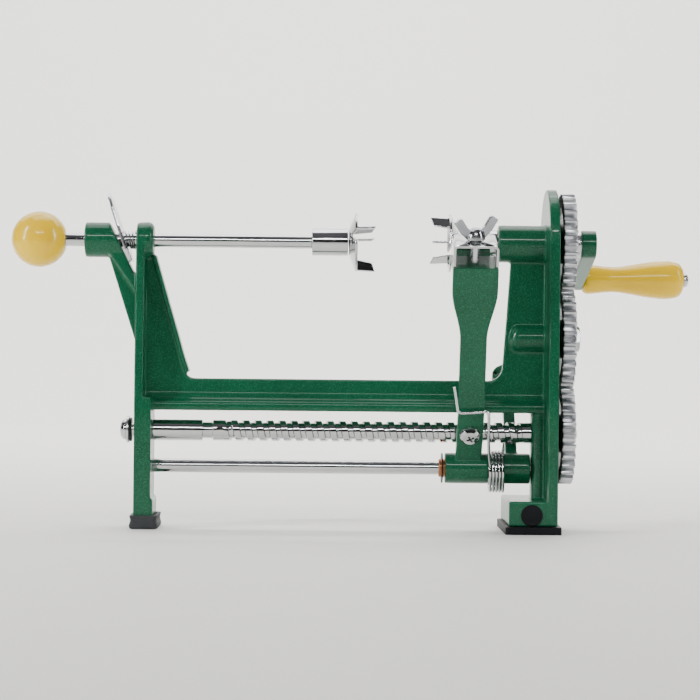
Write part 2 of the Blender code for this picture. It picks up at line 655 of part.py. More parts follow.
# blade holder: inverted channel on the platform, open to the front and rear
HOLD = Matrix.Rotation(math.radians(110), 3, "X")     # local x,y -> X,U
HOLDER = body_at("body_blade_holder", TOP + V * CLAMP_V * MM, ARM)
WING = body_at("body_wing_nut", TOP + V * CLAMP_V * MM, ARM)
outer = [(-14.5, 0.4), (-14.5, 11.0)] + [(x - 11.5, y + 11.5) for x, y in arc(0, 0, 3, 180, 90, 4)]
outer += [(x + 11.5, y + 11.5) for x, y in arc(0, 0, 3, 90, 0, 4)] + [(14.5, 11.0), (14.5, 0.4)]
inner = [(13.0, 0.4), (13.0, 11.0)] + [(x + 11.5, y + 11.5) for x, y in arc(0, 0, 1.5, 0, 90, 3)]
inner += [(x - 11.5, y + 11.5) for x, y in arc(0, 0, 1.5, 90, 180, 3)] + [(-13.0, 11.0), (-13.0, 0.4)]
holder = flat("blade_holder", [outer + inner], HOLD, TOP + V * 11.5 * MM, 26)
slot = flat("holder_slot", [[(x + s * 4.0, y) for s, a0 in ((1, -90), (-1, 90))
                             for x, y in arc(0, 0, 3.2, a0, a0 + 180, 6)]],
            Matrix((V, -Vector((1, 0, 0)), U)).transposed(),
            TOP + V * CLAMP_V * MM + U * 14 * MM, 6)
cut(holder, slot)
finish(holder, CHROME, 0.12, 1.0, HOLDER)
blade_line = [at_top(3.0, 12.2), at_top(26.5, 12.2), at_top(29.0, 10.8), at_top(30.2, 7.0),
              at_top(30.2, 2.6)]
blade = along_x("peeler_blade", [mitred(blade_line, 0.5, 0.5)], ARM_X - 11, ARM_X + 11)
slot2 = flat("blade_slot", [[(x + s * 4.0, y) for s, a0 in ((1, -90), (-1, 90))
                             for x, y in arc(0, 0, 3.2, a0, a0 + 180, 6)]],
             Matrix((V, -Vector((1, 0, 0)), U)).transposed(),
             TOP + V * CLAMP_V * MM + U * 12 * MM, 4)
cut(blade, slot2)
finish(blade, CHROME, 0.1, 1.0, HOLDER)

# wing nut, its left wing turned towards the front
nut = turned("wing_nut", [(15.0, 6.2), (19.0, 5.6), (21.0, 4.6), (22.4, 2.4)],
             TOP + V * CLAMP_V * MM, turn=axis_frame(U), seg=20)
spin = Matrix.Rotation(math.radians(22), 3, U)
for side in (-1, 1):
    path = [(side * 3.9, 17.6), (side * 8.6, 22.0), (side * 13.0, 28.8)]
    tip = rounded(mitred(path, 2.9, 2.9), 1.2, 3)
    unite(nut, flat(f"wing_{side}", [tip], spin @ HOLD, TOP + V * CLAMP_V * MM, 2.6))
cut(nut, rod("nut_bore", 0, 0, 3.05, 0, at=TOP + V * CLAMP_V * MM + U * 17 * MM, length=5.2,
             turn=axis_frame(U), seg=16))
finish(smooth(settle(nut), 30), CHROME, 0.12, 1.0, WING)

# ---------------------------------------------------------------- feed rod
finish(smooth(rod("feed_rod", -187.6, 13.3, 4.5, SPINDLE_Z)), CHROME, 0.1, 1.0, FEED)
ball = [(-192 + 18.5 * math.sin(math.radians(a)), 18.5 * math.cos(math.radians(a)))
        for a in range(-90, 71, 16)]
ball[0] = (ball[0][0], 0.0)
knob = turned("ball_knob", ball, P(0, 0, SPINDLE_Z))
cut(knob, rod("knob_bore", -188, -170, 4.8, SPINDLE_Z))
finish(knob, YELLOW, 0.15, 0.0, FEED)
finish(turned("tail_hub", [(-10.7, 8.4), (-10.1, 9.0), (13.2, 9.0)], P(0, 0, SPINDLE_Z), bore=4.8),
       CHROME, 0.12, 1.0, TAIL)
prong_plate("tail_prong_plate", 1, 13.9, (61, 180, 280), TAIL)
finish(turned("tail_screw", [(13.6, 2.3), (15.7, 2.3), (15.7, 4.6), (16.9, 4.6), (17.7, 3.0)],
              P(0, 0, SPINDLE_Z), seg=16), STEEL, 0.2, 1.0, FEED)

# ---------------------------------------------------------------- lock lever
w = Vector((-math.sin(LEVER_TILT), 0, math.cos(LEVER_TILT)))
lever_turn = Matrix((Vector((0, 1, 0)), w, Vector((0, 1, 0)).cross(w))).transposed()
eye = (SPINDLE_Z - LEVER_FOOT[1]) / w.z
profile = [(-11, 0.0), (11, 0.0), (15, 8.0), (15, 24.0), (12.0, 38.0)]
profile += [(10.5 * math.cos(math.radians(a)), 39 + 8.6 * math.sin(math.radians(a)))
            for a in range(15, 166, 15)]
profile += [(-12.0, 38.0), (-15, 24.0), (-15, 8.0)]
hole = [(5.0 * math.cos(2 * math.pi * i / 20), eye + 0.3 + 6.0 * math.sin(2 * math.pi * i / 20))
        for i in range(20)]
lever = flat("lock_lever", [profile, hole], lever_turn, P(LEVER_FOOT[0], 0, LEVER_FOOT[1]), 2.0)
finish(lever, STEEL, 0.25, 1.0, LEVER)

pts, turns, per = [], 4.0, 8
for i in range(int(turns * per) + 1):
    f = i / (turns * per)
    a = 2 * math.pi * i / per
    y, z = 5.6 * math.cos(a), 5.6 * math.sin(a)
    x = -133.6 + 5.6 * f - math.tan(LEVER_TILT) * z * (1 - f)
    pts.append((x, y, SPINDLE_Z + z))
finish(wire("clutch_spring", pts, 0.6), STEEL, 0.2, 1.0, FRAME)
bpy.context.view_layer.update()
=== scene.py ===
import bpy
import bmesh
import math
from mathutils import Matrix, Vector


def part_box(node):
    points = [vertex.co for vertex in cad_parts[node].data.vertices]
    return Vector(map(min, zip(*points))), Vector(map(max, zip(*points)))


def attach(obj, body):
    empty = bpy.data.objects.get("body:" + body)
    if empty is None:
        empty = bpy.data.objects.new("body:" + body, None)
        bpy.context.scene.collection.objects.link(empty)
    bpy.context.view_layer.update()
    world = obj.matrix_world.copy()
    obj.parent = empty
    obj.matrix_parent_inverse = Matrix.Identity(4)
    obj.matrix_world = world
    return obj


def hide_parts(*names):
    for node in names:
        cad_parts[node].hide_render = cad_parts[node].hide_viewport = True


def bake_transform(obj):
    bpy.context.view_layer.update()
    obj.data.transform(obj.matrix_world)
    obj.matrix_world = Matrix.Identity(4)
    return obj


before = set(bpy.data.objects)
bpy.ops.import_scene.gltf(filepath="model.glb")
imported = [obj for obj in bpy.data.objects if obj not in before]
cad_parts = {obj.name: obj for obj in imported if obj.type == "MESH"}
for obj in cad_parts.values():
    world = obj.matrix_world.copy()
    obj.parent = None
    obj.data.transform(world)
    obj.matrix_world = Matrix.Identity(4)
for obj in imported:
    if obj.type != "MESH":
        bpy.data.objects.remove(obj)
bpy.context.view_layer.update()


# ------------------------------------------------------------------ datum
# Millimetres about the spindle plane (Y = 0) and the table (Z = 0), tied to
# the frame's own nodes.
MM = 0.001
_lo, _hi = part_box("guide_rod")
X0 = (_lo[0] + _hi[0]) / 2 - 11.2 * MM
Y0 = (_lo[1] + _hi[1]) / 2
_lo, _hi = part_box("feed_rod")
SPINDLE_Z = (_lo[2] + _hi[2]) / 2 / MM
_lo, _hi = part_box("idler_gear")
IDLER_Z = (_lo[2] + _hi[2]) / 2 / MM
_lo, _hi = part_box("lead_screw")
SCREW_Z = (_lo[2] + _hi[2]) / 2 / MM
_lo, _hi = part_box("guide_rod")
GUIDE_Z = (_lo[2] + _hi[2]) / 2 / MM

PIECES = bpy.data.collections.new("pieces")
bpy.context.scene.collection.children.link(PIECES)


def P(x, y, z):
    return Vector((X0 + x * MM, Y0 + y * MM, z * MM))


ALONG_X = Matrix(((0, 0, 1), (0, 1, 0), (-1, 0, 0)))
FACE_XZ = Matrix(((1, 0, 0), (0, 0, -1), (0, 1, 0)))
FACE_YZ = Matrix(((0, 0, 1), (1, 0, 0), (0, 1, 0)))
FACE_XY = Matrix.Identity(3)


def axis_frame(direction):
    return Vector((0, 0, 1)).rotation_difference(Vector(direction)).to_matrix()


# ------------------------------------------------------------------ tools
def place(obj, at, turn):
    obj.location = at
    obj.rotation_euler = turn.to_euler()
    return obj


def link(name, data):
    obj = bpy.data.objects.new(name, data)
    PIECES.objects.link(obj)
    return obj


def settle(obj):
    """Evaluated mesh of an object, with its place baked into the mesh."""
    bpy.context.view_layer.update()
    graph = bpy.context.evaluated_depsgraph_get()
    mesh = bpy.data.meshes.new_from_object(obj.evaluated_get(graph))
    mesh.transform(obj.matrix_world)
    name = obj.name
    bm = bmesh.new()
    bm.from_mesh(mesh)
    bmesh.ops.remove_doubles(bm, verts=bm.verts, dist=1e-6)
    bm.to_mesh(mesh)
    bm.free()
    bpy.data.objects.remove(obj, do_unlink=True)
    made = link(name, mesh)
    mesh.name = name
    return made


def from_bm(name, bm, at=None, turn=None):
    mesh = bpy.data.meshes.new(name)
    bm.to_mesh(mesh)
    bm.free()
    obj = link(name, mesh)
    if at is not None:
        place(obj, at, turn)
    return settle(obj)


def smooth(obj, degrees=32.0):
    obj.data.shade_smooth()
    if degrees:
        obj.data.set_sharp_from_angle(angle=math.radians(degrees))
    return obj


def bevel(obj, width, segments=2, angle=30.0):
    mod = obj.modifiers.new("edges", "BEVEL")
    mod.width = width * MM
    mod.segments = segments
    mod.limit_method = "ANGLE"
    mod.angle_limit = math.radians(angle)
    mod.use_clamp_overlap = True
    mod.harden_normals = False
    return settle(obj)


def rod(name, x0, x1, r, z, y=0.0, seg=64, turn=ALONG_X, at=None, length=None):
    bm = bmesh.new()
    bmesh.ops.create_cone(bm, cap_ends=True, cap_tris=False, segments=seg,
                          radius1=r * MM, radius2=r * MM,
                          depth=(length or (x1 - x0)) * MM)
    return from_bm(name, bm, at if at is not None else P((x0 + x1) / 2, y, z), turn)


def block(name, x0, x1, y0, y1, z0, z1):
    bm = bmesh.new()
    bmesh.ops.create_cube(bm, size=1.0)
    bmesh.ops.scale(bm, verts=bm.verts,
                    vec=((x1 - x0) * MM, (y1 - y0) * MM, (z1 - z0) * MM))
    return from_bm(name, bm, P((x0 + x1) / 2, (y0 + y1) / 2, (z0 + z1) / 2), FACE_XY)


def arc(cx, cy, r, a0, a1, seg):
    return [(cx + r * math.cos(math.radians(a0 + (a1 - a0) * i / seg)),
             cy + r * math.sin(math.radians(a0 + (a1 - a0) * i / seg)))
            for i in range(seg + 1)]


def soften(points, radius, seg=5):
    """Rounds the inner corners of an open profile."""
    out = [points[0]]
    for i in range(1, len(points) - 1):
        a, b, c = Vector(points[i - 1]), Vector(points[i]), Vector(points[i + 1])
        u, v = a - b, c - b
        if u.length < 1e-6 or v.length < 1e-6:
            continue
        half = u.angle(v) / 2
        if half > math.radians(86):
            out.append(tuple(b))
            continue
        reach = min(radius / math.tan(half), 0.45 * min(u.length, v.length))
        r = reach * math.tan(half)
        centre = b + (u.normalized() + v.normalized()).normalized() * (r / math.sin(half))
        s, e = b + u.normalized() * reach - centre, b + v.normalized() * reach - centre
        a0, a1 = math.atan2(s.y, s.x), math.atan2(e.y, e.x)
        while a1 - a0 > math.pi:
            a1 -= 2 * math.pi
        while a1 - a0 < -math.pi:
            a1 += 2 * math.pi
        for k in range(seg + 1):
            t = a0 + (a1 - a0) * k / seg
            out.append((centre.x + r * math.cos(t), centre.y + r * math.sin(t)))
    out.append(points[-1])
    return out


def rounded(points, radius, seg=5):
    loop = soften([points[-1]] + list(points) + [points[0]], radius, seg)
    return loop[1:-1]


def turned(name, outer, at, turn=ALONG_X, bore=None, seg=72, edge=0.35, sharp=40):
    """Turned piece from (position, radius) pairs, its corners broken by edge."""
    outer = list(outer)
    if bore is None:
        if outer[0][1] > 0:
            outer.insert(0, (outer[0][0], 0.0))
        if outer[-1][1] > 0:
            outer.append((outer[-1][0], 0.0))
        line = soften(outer, edge, 4) if edge else outer
        loop = False
    else:
        ring_pts = outer + [(outer[-1][0], bore), (outer[0][0], bore)]
        line = rounded(ring_pts, edge, 4) if edge else ring_pts
        loop = True
    down = [(r, t) for t, r in reversed(line)]
    mesh = bpy.data.meshes.new(name)
    verts = [(max(r, 0.0) * MM, 0, t * MM) for r, t in down]
    edges = [(i, i + 1) for i in range(len(verts) - 1)]
    if loop:
        edges.append((len(verts) - 1, 0))
    mesh.from_pydata(verts, edges, [])
    obj = place(link(name, mesh), at, turn)
    mod = obj.modifiers.new("turn", "SCREW")
    mod.steps = mod.render_steps = seg
    mod.use_merge_vertices = True
    mod.merge_threshold = 1e-6
    return smooth(settle(obj), sharp)


def flat(name, outlines, turn, at, thick):
    curve = bpy.data.curves.new(name, "CURVE")
    curve.dimensions = "2D"
    curve.fill_mode = "BOTH"
    curve.extrude = thick / 2 * MM
    for pts in outlines:
        line = curve.splines.new("POLY")
        line.points.add(len(pts) - 1)
        for p, (a, b) in zip(line.points, pts):
            p.co = (a * MM, b * MM, 0, 1)
        line.use_cyclic_u = True
    return settle(place(link(name, curve), at, turn))


def along_y(name, outlines, y0, y1):
    return flat(name, outlines, FACE_XZ, P(0, (y0 + y1) / 2, 0), y1 - y0)


def along_x(name, outlines, x0, x1):
    return flat(name, outlines, FACE_YZ, P((x0 + x1) / 2, 0, 0), x1 - x0)


def mitred(path, t0, t1):
    left, right = [], []
    for i, p in enumerate(path):
        p = Vector(p)
        before = (p - Vector(path[i - 1])).normalized() if i else None
        after = (Vector(path[i + 1]) - p).normalized() if i + 1 < len(path) else None
        d = (before + after).normalized() if before and after else (before or after)
        n = Vector((-d.y, d.x))
        stretch = 1.0
        if before and after:
            stretch = 1.0 / max(0.3, n.dot(Vector((-after.y, after.x))))
        left.append(tuple(p + n * t1 * stretch))
        right.append(tuple(p - n * t0 * stretch))
    return left + right[::-1]


def through(points, steps):
    """Catmull-Rom points through the given ones."""
    pts = [Vector(p) for p in points]
    pts = [pts[0] * 2 - pts[1]] + pts + [pts[-1] * 2 - pts[-2]]
    out = []
    for i in range(1, len(pts) - 2):
        a, b, c, d = pts[i - 1:i + 3]
        for k in range(steps):
            t = k / steps
            out.append(0.5 * ((2 * b) + (c - a) * t + (2 * a - 5 * b + 4 * c - d) * t * t
                              + (3 * b - a - 3 * c + d) * t ** 3))
    out.append(pts[-2])
    return out


def wire(name, points, r, resolution=4):
    curve = bpy.data.curves.new(name, "CURVE")
    curve.dimensions = "3D"
    curve.bevel_depth = r * MM
    curve.bevel_resolution = resolution
    curve.use_fill_caps = True
    line = curve.splines.new("POLY")
    line.points.add(len(points) - 1)
    for p, q in zip(line.points, points):
        p.co = (*P(*q), 1)
    return smooth(settle(link(name, curve)), 50)


def boolean(target, other, operation):
    mod = target.modifiers.new("b", "BOOLEAN")
    mod.operation = operation
    mod.solver = "EXACT"
    mod.object = other
    made = settle(target)
    bpy.data.objects.remove(other, do_unlink=True)
    return made


def cast(name, parts, voxel, rounds, keep=1.0, factor=0.5):
    """One skin over overlapping solids, with its edges and corners softened."""
    bm = bmesh.new()
    for part in parts:
        bm.from_mesh(part.data)
        bpy.data.objects.remove(part, do_unlink=True)
    mesh = bpy.data.meshes.new(name)
    bm.to_mesh(mesh)
    bm.free()
    obj = link(name, mesh)
    mod = obj.modifiers.new("skin", "REMESH")
    mod.mode = "VOXEL"
    mod.voxel_size = voxel * MM
    mod.adaptivity = 0.0
    mod = obj.modifiers.new("soft", "SMOOTH")
    mod.factor = factor
    mod.iterations = rounds
    if keep < 1.0:
        mod = obj.modifiers.new("fewer", "DECIMATE")
        mod.ratio = keep
    return smooth(settle(obj), 0)


# ------------------------------------------------------------------ materials
class Graph:
    def __init__(self, name):
        self.mat = bpy.data.materials.new(name)
        self.mat.use_nodes = True
        self.tree = self.mat.node_tree
        self.shader = self.tree.nodes["Principled BSDF"]
        self.coord = self.tree.nodes.new("ShaderNodeTexCoord").outputs["Object"]

    def node(self, kind, **values):
        n = self.tree.nodes.new(kind)
        for key, value in values.items():
            setattr(n, key, value)
        return n

    def to(self, out, socket):
        self.tree.links.new(out, socket)

    def scaled(self, vec):
        n = self.node("ShaderNodeMapping")
        self.to(self.coord, n.inputs["Vector"])
        n.inputs["Scale"].default_value = vec
        return n.outputs["Vector"]

    def noise(self, scale, detail=2.0, rough=0.5, vector=None):
        n = self.node("ShaderNodeTexNoise")
        self.to(vector or self.coord, n.inputs["Vector"])
        n.inputs["Scale"].default_value = scale
        n.inputs["Detail"].default_value = detail
        n.inputs["Roughness"].default_value = rough
        return n.outputs["Fac"]

    def cells(self, scale, feature="SMOOTH_F1"):
        n = self.node("ShaderNodeTexVoronoi", feature=feature)
        self.to(self.coord, n.inputs["Vector"])
        n.inputs["Scale"].default_value = scale
        return n.outputs["Distance"]

    def ramp(self, fac, stops):
        n = self.node("ShaderNodeValToRGB")
        self.to(fac, n.inputs["Fac"])
        while len(n.color_ramp.elements) < len(stops):
            n.color_ramp.elements.new(0.5)
        for e, (pos, col) in zip(n.color_ramp.elements, stops):
            e.position = pos
            e.color = (*col, 1) if len(col) == 3 else col
        return n.outputs["Color"]

    def span(self, fac, a, b, lo=0.0, hi=1.0):
        n = self.node("ShaderNodeMapRange")
        self.to(fac, n.inputs["Value"])
        n.inputs["From Min"].default_value = lo
        n.inputs["From Max"].default_value = hi
        n.inputs["To Min"].default_value = a
        n.inputs["To Max"].default_value = b
        return n.outputs["Result"]

    def mix(self, fac, a, b):
        n = self.node("ShaderNodeMix", data_type="RGBA")
        self.to(fac, n.inputs["Factor"])
        for value, socket in ((a, n.inputs[6]), (b, n.inputs[7])):
            if hasattr(value, "links"):
                self.to(value, socket)
            else:
                socket.default_value = (*value, 1)
        return n.outputs[2]

    def math(self, op, a, b):
        n = self.node("ShaderNodeMath", operation=op)
        for value, socket in ((a, n.inputs[0]), (b, n.inputs[1])):
            if hasattr(value, "links"):
                self.to(value, socket)
            else:
                socket.default_value = value
        return n.outputs[0]

    def bump(self, height, strength, distance, normal=None):
        n = self.node("ShaderNodeBump")
        n.inputs["Strength"].default_value = strength
        n.inputs["Distance"].default_value = distance
        self.to(height, n.inputs["Height"])
        if normal is not None:
            self.to(normal, n.inputs["Normal"])
        return n.outputs["Normal"]

    def use(self, colour=None, rough=None, normal=None, **constants):
        for value, key in ((colour, "Base Color"), (rough, "Roughness"), (normal, "Normal")):
            if value is None:
                continue
            if hasattr(value, "links"):
                self.to(value, self.shader.inputs[key])
            else:
                self.shader.inputs[key].default_value = value
        for key, value in constants.items():
            self.shader.inputs[key.replace("_", " ")].default_value = value
        return self.mat


def green_enamel():
    g = Graph("green_enamel")
    fleck = g.noise(1500, 2.0, 0.6)
    broad = g.noise(26, 3.0, 0.5)
    base = g.mix(g.span(broad, 0.0, 1.0, 0.3, 0.7), (0.0015, 0.068, 0.027), (0.003, 0.090, 0.038))
    colour = g.mix(g.span(fleck, 0.0, 0.75, 0.50, 0.72), base, (0.028, 0.19, 0.11))
    hammer = g.cells(520)
    ripple = g.noise(260, 2.0)
    normal = g.bump(hammer, 0.16, 0.0003)
    normal = g.bump(ripple, 0.14, 0.0004, normal)
    normal = g.bump(fleck, 0.08, 0.0001, normal)
    return g.use(colour, g.span(fleck, 0.26, 0.42, 0.3, 0.7), normal,
                 Coat_Weight=0.4, Coat_Roughness=0.05, Specular_IOR_Level=0.12)


def yellow_plastic():
    g = Graph("yellow_plastic")
    broad = g.noise(30, 2.0)
    skin = g.noise(900, 2.0)
    colour = g.mix(g.span(broad, 0.0, 1.0, 0.3, 0.7), (0.84, 0.50, 0.0), (0.90, 0.58, 0.0))
    normal = g.bump(broad, 0.10, 0.0006)
    normal = g.bump(skin, 0.04, 0.0001, normal)
    return g.use(colour, g.span(skin, 0.20, 0.27, 0.3, 0.7), normal,
                 Coat_Weight=0.3, Coat_Roughness=0.05, Specular_IOR_Level=0.3)


def metal(name, colour_a, colour_b, rough_a, rough_b, lines=None, line_strength=0.06,
          spots=0.03, anis=0.0):
    """Plated metal. lines is a scale vector: its large axis crosses the marks."""
    g = Graph(name)
    broad = g.noise(60, 3.0)
    fine = g.noise(1, 3.0, 0.6, g.scaled(lines)) if lines else g.noise(1600, 3.0, 0.6)
    colour = g.mix(g.span(broad, 0.0, 1.0, 0.3, 0.7), colour_a, colour_b)
    rough = g.math("ADD", g.span(broad, rough_a, rough_b, 0.3, 0.7), g.span(fine, 0.0, 0.05, 0.35, 0.7))
    normal = g.bump(fine, line_strength, 0.00005)
    normal = g.bump(broad, spots, 0.0006, normal)
    return g.use(colour, rough, normal, Metallic=1.0)


def rubber(name, a, b, rough):
    g = Graph(name)
    grain = g.noise(1400, 3.0, 0.6)
    broad = g.noise(60, 3.0)
    colour = g.mix(g.span(broad, 0.0, 1.0, 0.3, 0.7), a, b)
    normal = g.bump(grain, 0.25, 0.00015)
    return g.use(colour, g.span(grain, rough - 0.08, rough + 0.08, 0.3, 0.7), normal,
                 Specular_IOR_Level=0.15)


GREEN = green_enamel()
YELLOW = yellow_plastic()
CHROME = metal("chrome", (0.54, 0.545, 0.555), (0.61, 0.615, 0.62), 0.045, 0.10, spots=0.05)
DRAWN = metal("chrome_rod", (0.54, 0.545, 0.555), (0.61, 0.615, 0.62), 0.05, 0.10,
              lines=(25, 2600, 2600), line_strength=0.05)
TURNED = metal("chrome_turned", (0.53, 0.535, 0.545), (0.60, 0.605, 0.61), 0.06, 0.12,
               lines=(5200, 60, 60), line_strength=0.07)
STEEL = metal("plated_steel", (0.56, 0.57, 0.59), (0.68, 0.69, 0.70), 0.16, 0.26,
              line_strength=0.10, spots=0.05)


def gear_steel():
    """Zinc-plated steel; painted shade darkens the side against the stand, which is also made rougher."""
    g = Graph("gear_steel")
    broad = g.noise(90, 3.0)
    fine = g.noise(1800, 3.0, 0.6)
    split = g.node("ShaderNodeSeparateXYZ")
    g.to(g.coord, split.inputs[0])
    # inner marks the side against the stand, where the colour is darkened as painted shade
    inner = g.span(split.outputs["X"], 1.0, 0.0, X0 + 154.6 * MM, X0 + 155.3 * MM)
    bright = g.mix(g.span(broad, 0.0, 1.0, 0.3, 0.7), (0.50, 0.515, 0.54), (0.70, 0.71, 0.73))
    # painted shade: near-black colour on the side against the stand
    colour = g.mix(inner, bright, (0.035, 0.035, 0.036))
    rough = g.math("ADD", g.span(broad, 0.26, 0.36, 0.3, 0.7),
                   g.math("MULTIPLY", inner, 0.35))
    normal = g.bump(fine, 0.02, 0.00003)
    return g.use(colour, rough, normal, Metallic=1.0)


GEARS = gear_steel()
BRONZE = metal("bronze_bush", (0.30, 0.115, 0.045), (0.42, 0.17, 0.075), 0.30, 0.42,
               lines=(4200, 60, 60), line_strength=0.10)
DIECAST = metal("diecast_zinc", (0.27, 0.28, 0.30), (0.40, 0.41, 0.43), 0.14, 0.26,
                line_strength=0.05, spots=0.04)
BLACKED = metal("blackened_steel", (0.020, 0.020, 0.022), (0.035, 0.035, 0.038), 0.30, 0.42)
PAD = rubber("black_pad", (0.004, 0.005, 0.006), (0.007, 0.008, 0.010), 0.50)
BOOT = rubber("grey_rubber", (0.034, 0.037, 0.040), (0.050, 0.053, 0.056), 0.62)


def done(obj, mat, body, *nodes, slot=None):
    obj.data.materials.clear()
    obj.data.materials.append(mat)
    for poly in obj.data.polygons:
        poly.material_index = 0
    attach(obj, body)
    if nodes:
        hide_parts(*nodes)
    return obj


def twists(obj, mat, fixed, moving, start, end, *nodes, slot=None):
    """A spring between two bodies, baked in place with its material; fixed, moving, start and end are not
    used.
    """
    obj.data.materials.clear()
    obj.data.materials.append(mat)
    for poly in obj.data.polygons:
        poly.material_index = 0
    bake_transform(obj)
    if nodes:
        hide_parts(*nodes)
    return obj


# ------------------------------------------------------------------ casting
SLOPE_TOP, SLOPE_END = (-145.3, 202.9), (-127.6, 167.5)
web = [(-124, 82), (-124, 185), (-117.5, 185), (-107.8, 151), (-101.9, 131), (-96.6, 112.5)]
web += arc(-87.5, 107.5, 8.0, 195, 270, 10)
web += arc(107.0, 109.5, 10.0, -90, -4, 10)
web += [(119.2, 140), (121.8, 180), (147, 180), (147, 82)]
flange = [(-10, 78.4), (10, 78.4), (10, 83.2), (8.6, 84.6), (6.4, 85.6), (4.4, 87.4), (3.4, 89.6),
          (-3.4, 89.6), (-4.4, 87.4), (-6.4, 85.6), (-8.6, 84.6), (-10, 83.2)]
left_up = arc(0, SPINDLE_Z, 11.7, 0, 180, 24) + [(-18, 86), (18, 86)]
tail = rod("tail", -161.4, -134, 11.6, SPINDLE_Z, seg=96)
tail = boolean(tail, along_y("wedge", [[SLOPE_TOP, (-150.3, 212.9), (-129, 213), (-127.3, 167)]],
                             -16, 16), "DIFFERENCE")
plate_out = arc(0, SPINDLE_Z, 36.3, 0, 180, 60) + [(-36, 5.4), (36, 5.4)]
column = flat("column", [rounded([(136.3, -9), (147, -9), (147, 9), (136.3, 9)], 5.2, 8)],
              FACE_XY, P(0, 0, 51), 66)
casting = [
    along_y("web", [web], -3, 3),
    along_x("flange", [flange], -123, 148),
    along_x("left_plate", [left_up], -127, -121.0),
    along_x("left_leg", [[(-18, 3.3), (18, 3.3), (18, 87), (-18, 87)]], -126.9, -115.6),
    block("left_toe", -126.8, -114.0, -17.9, 17.9, 3.5, 20),
    turned("left_boss", [(-126.9, 10.6), (-125.6, 11.9), (-118.9, 12.2), (-117.0, 11.3),
                         (-115.6, 9.2)], P(0, 0, SPINDLE_Z), seg=96, edge=0),
    along_y("gusset", [mitred([(-115.2, 181), (-106.6, 151), (-100.7, 131), (-95.4, 112.5),
                               (-92.4, 103.6)], 1.3, 1.3)], -7, 7),
    tail,
    along_y("rib", [[(-149.0, 187.5), (-142.1, 196.4), (-127.6, 167.3), (-124, 161),
                     (-124, 151)]], -8.5, 8.5),
    along_y("rib_web", [[(-147, 184), (-128, 124.5), (-124, 118), (-124, 164), (-140, 185)]],
            -2.6, 2.6),
    along_x("right_plate", [plate_out], 144.9, 151.6),
    rod("drive_boss", 113.2, 149, 12.35, SPINDLE_Z, seg=96),
    turned("idler_boss", [(120.9, 0.0), (121.3, 4.0), (123.2, 7.4), (126, 9.1), (148, 9.1)],
           P(0, 0, IDLER_Z), edge=0),
    column,
    block("foot", 119.6, 149.7, -35.1, 35.1, 5.3, 21.5),
] + [rod(f"pad{i}", 150.5, 154.2, 10.5, z) for i, z in enumerate((SPINDLE_Z, IDLER_Z, SCREW_Z))]
done(cast("stand_casting", casting, 0.7, 9, keep=0.4), GREEN, "frame", "main_frame",
     slot="green_enamel")

# ------------------------------------------------------------------ feet
def boot():
    """Moulded boot: bulging lower corners, a waist and a thin lip."""
    bm = bmesh.new()
    rings = []
    profile = [(0.0, 8.2, 19.4), (0.5, 9.1, 20.3), (2.2, 9.5, 20.6), (4.0, 9.0, 20.2),
               (5.6, 8.6, 19.9), (7.4, 8.9, 20.2), (8.7, 9.3, 20.5), (9.0, 8.9, 20.1),
               (9.0, 7.0, 18.6), (8.0, 6.8, 18.5)]
    for z, hx, hy in profile:
        pts = rounded([(-hx, -hy), (hx, -hy), (hx, hy), (-hx, hy)], 3.2, 8)
        ring_pts = []
        for x, y in pts:
            wave = 0.35 * math.cos(x * 0.62) if z < 8.9 else 0.0
            ring_pts.append(bm.verts.new(P(-120.0 + x, y - math.copysign(wave, y), z)))
        rings.append(ring_pts)
    for a, b in zip(rings, rings[1:]):
        for i in range(len(a)):
            j = (i + 1) % len(a)
            bm.faces.new((a[i], a[j], b[j], b[i]))
    bm.faces.new(rings[0][::-1])
    bm.faces.new(rings[-1])
    return smooth(from_bm("left_boot", bm), 50)


done(boot(), BOOT, "frame", "left_foot_boot", slot="grey_rubber")
pad = flat("base_pad", [rounded([(117.3, -38), (154, -38), (154, 38), (117.3, 38)], 2.2, 8)],
           FACE_XY, P(0, 0, 2.5), 5.0)
done(smooth(bevel(pad, 0.8, 4, 40), 40), PAD, "frame", "right_foot_pad", slot="black_pad")
# A black disc on the foot's front stands for the dark inside of the clamp hole: painted shade.
hole_shade_disc = turned("clamp_hole_shade", [(0.0, 6.9), (2.6, 7.15), (3.1, 7.15), (3.3, 6.4)],
              P(134.6, -32.4, 12.4), turn=axis_frame((0, -1, 0)), edge=0.4)
done(hole_shade_disc, PAD, "frame", "foot_plug", slot="black_pad")

# ------------------------------------------------------------------ rods and bolts
done(turned("lower_rod", [(-123.2, 4.5), (145.6, 4.5)], P(0, 0, GUIDE_Z), seg=96, edge=0.4),
     DRAWN, "frame", "guide_rod", slot="chrome")
done(turned("upper_rod", [(-187.6, 4.5), (13.3, 4.5)], P(0, 0, SPINDLE_Z), seg=96, edge=0.4),
     DRAWN, "feed_rod", "feed_rod", slot="chrome")
done(turned("spindle_shaft", [(93, 6.0), (176.2, 6.0)], P(0, 0, SPINDLE_Z), edge=0.5),
     STEEL, "drive", "drive_spindle", slot="steel")


def hex_head(name, x0, x1, across, z, body):
    pts = [(across / math.sqrt(3) * math.cos(math.radians(60 * i + 15)),
            z + across / math.sqrt(3) * math.sin(math.radians(60 * i + 15))) for i in range(6)]
    head = along_x(name, [pts], x0, x1)
    cap = turned("cap", [(x0 - 1, across * 0.70), (x1 - 1.3, across * 0.60), (x1, across * 0.49)],
                 P(0, 0, z), edge=0)
    return smooth(boolean(head, cap, "INTERSECT"), 25)


done(hex_head("idler_head", 164.0, 168.2, 15.2, IDLER_Z, "frame"), STEEL, "frame", slot="steel")
done(turned("idler_shank", [(129.4, 5.0), (163.9, 5.0), (163.9, 8.9), (165.2, 8.9)],
            P(0, 0, IDLER_Z), edge=0.3), STEEL, "frame", "idler_bolt", slot="steel")

# ------------------------------------------------------------------ gears
TEETH, MODULE = 28, 2.25
PITCH_R = TEETH * MODULE / 2
ROUND = TEETH * 4


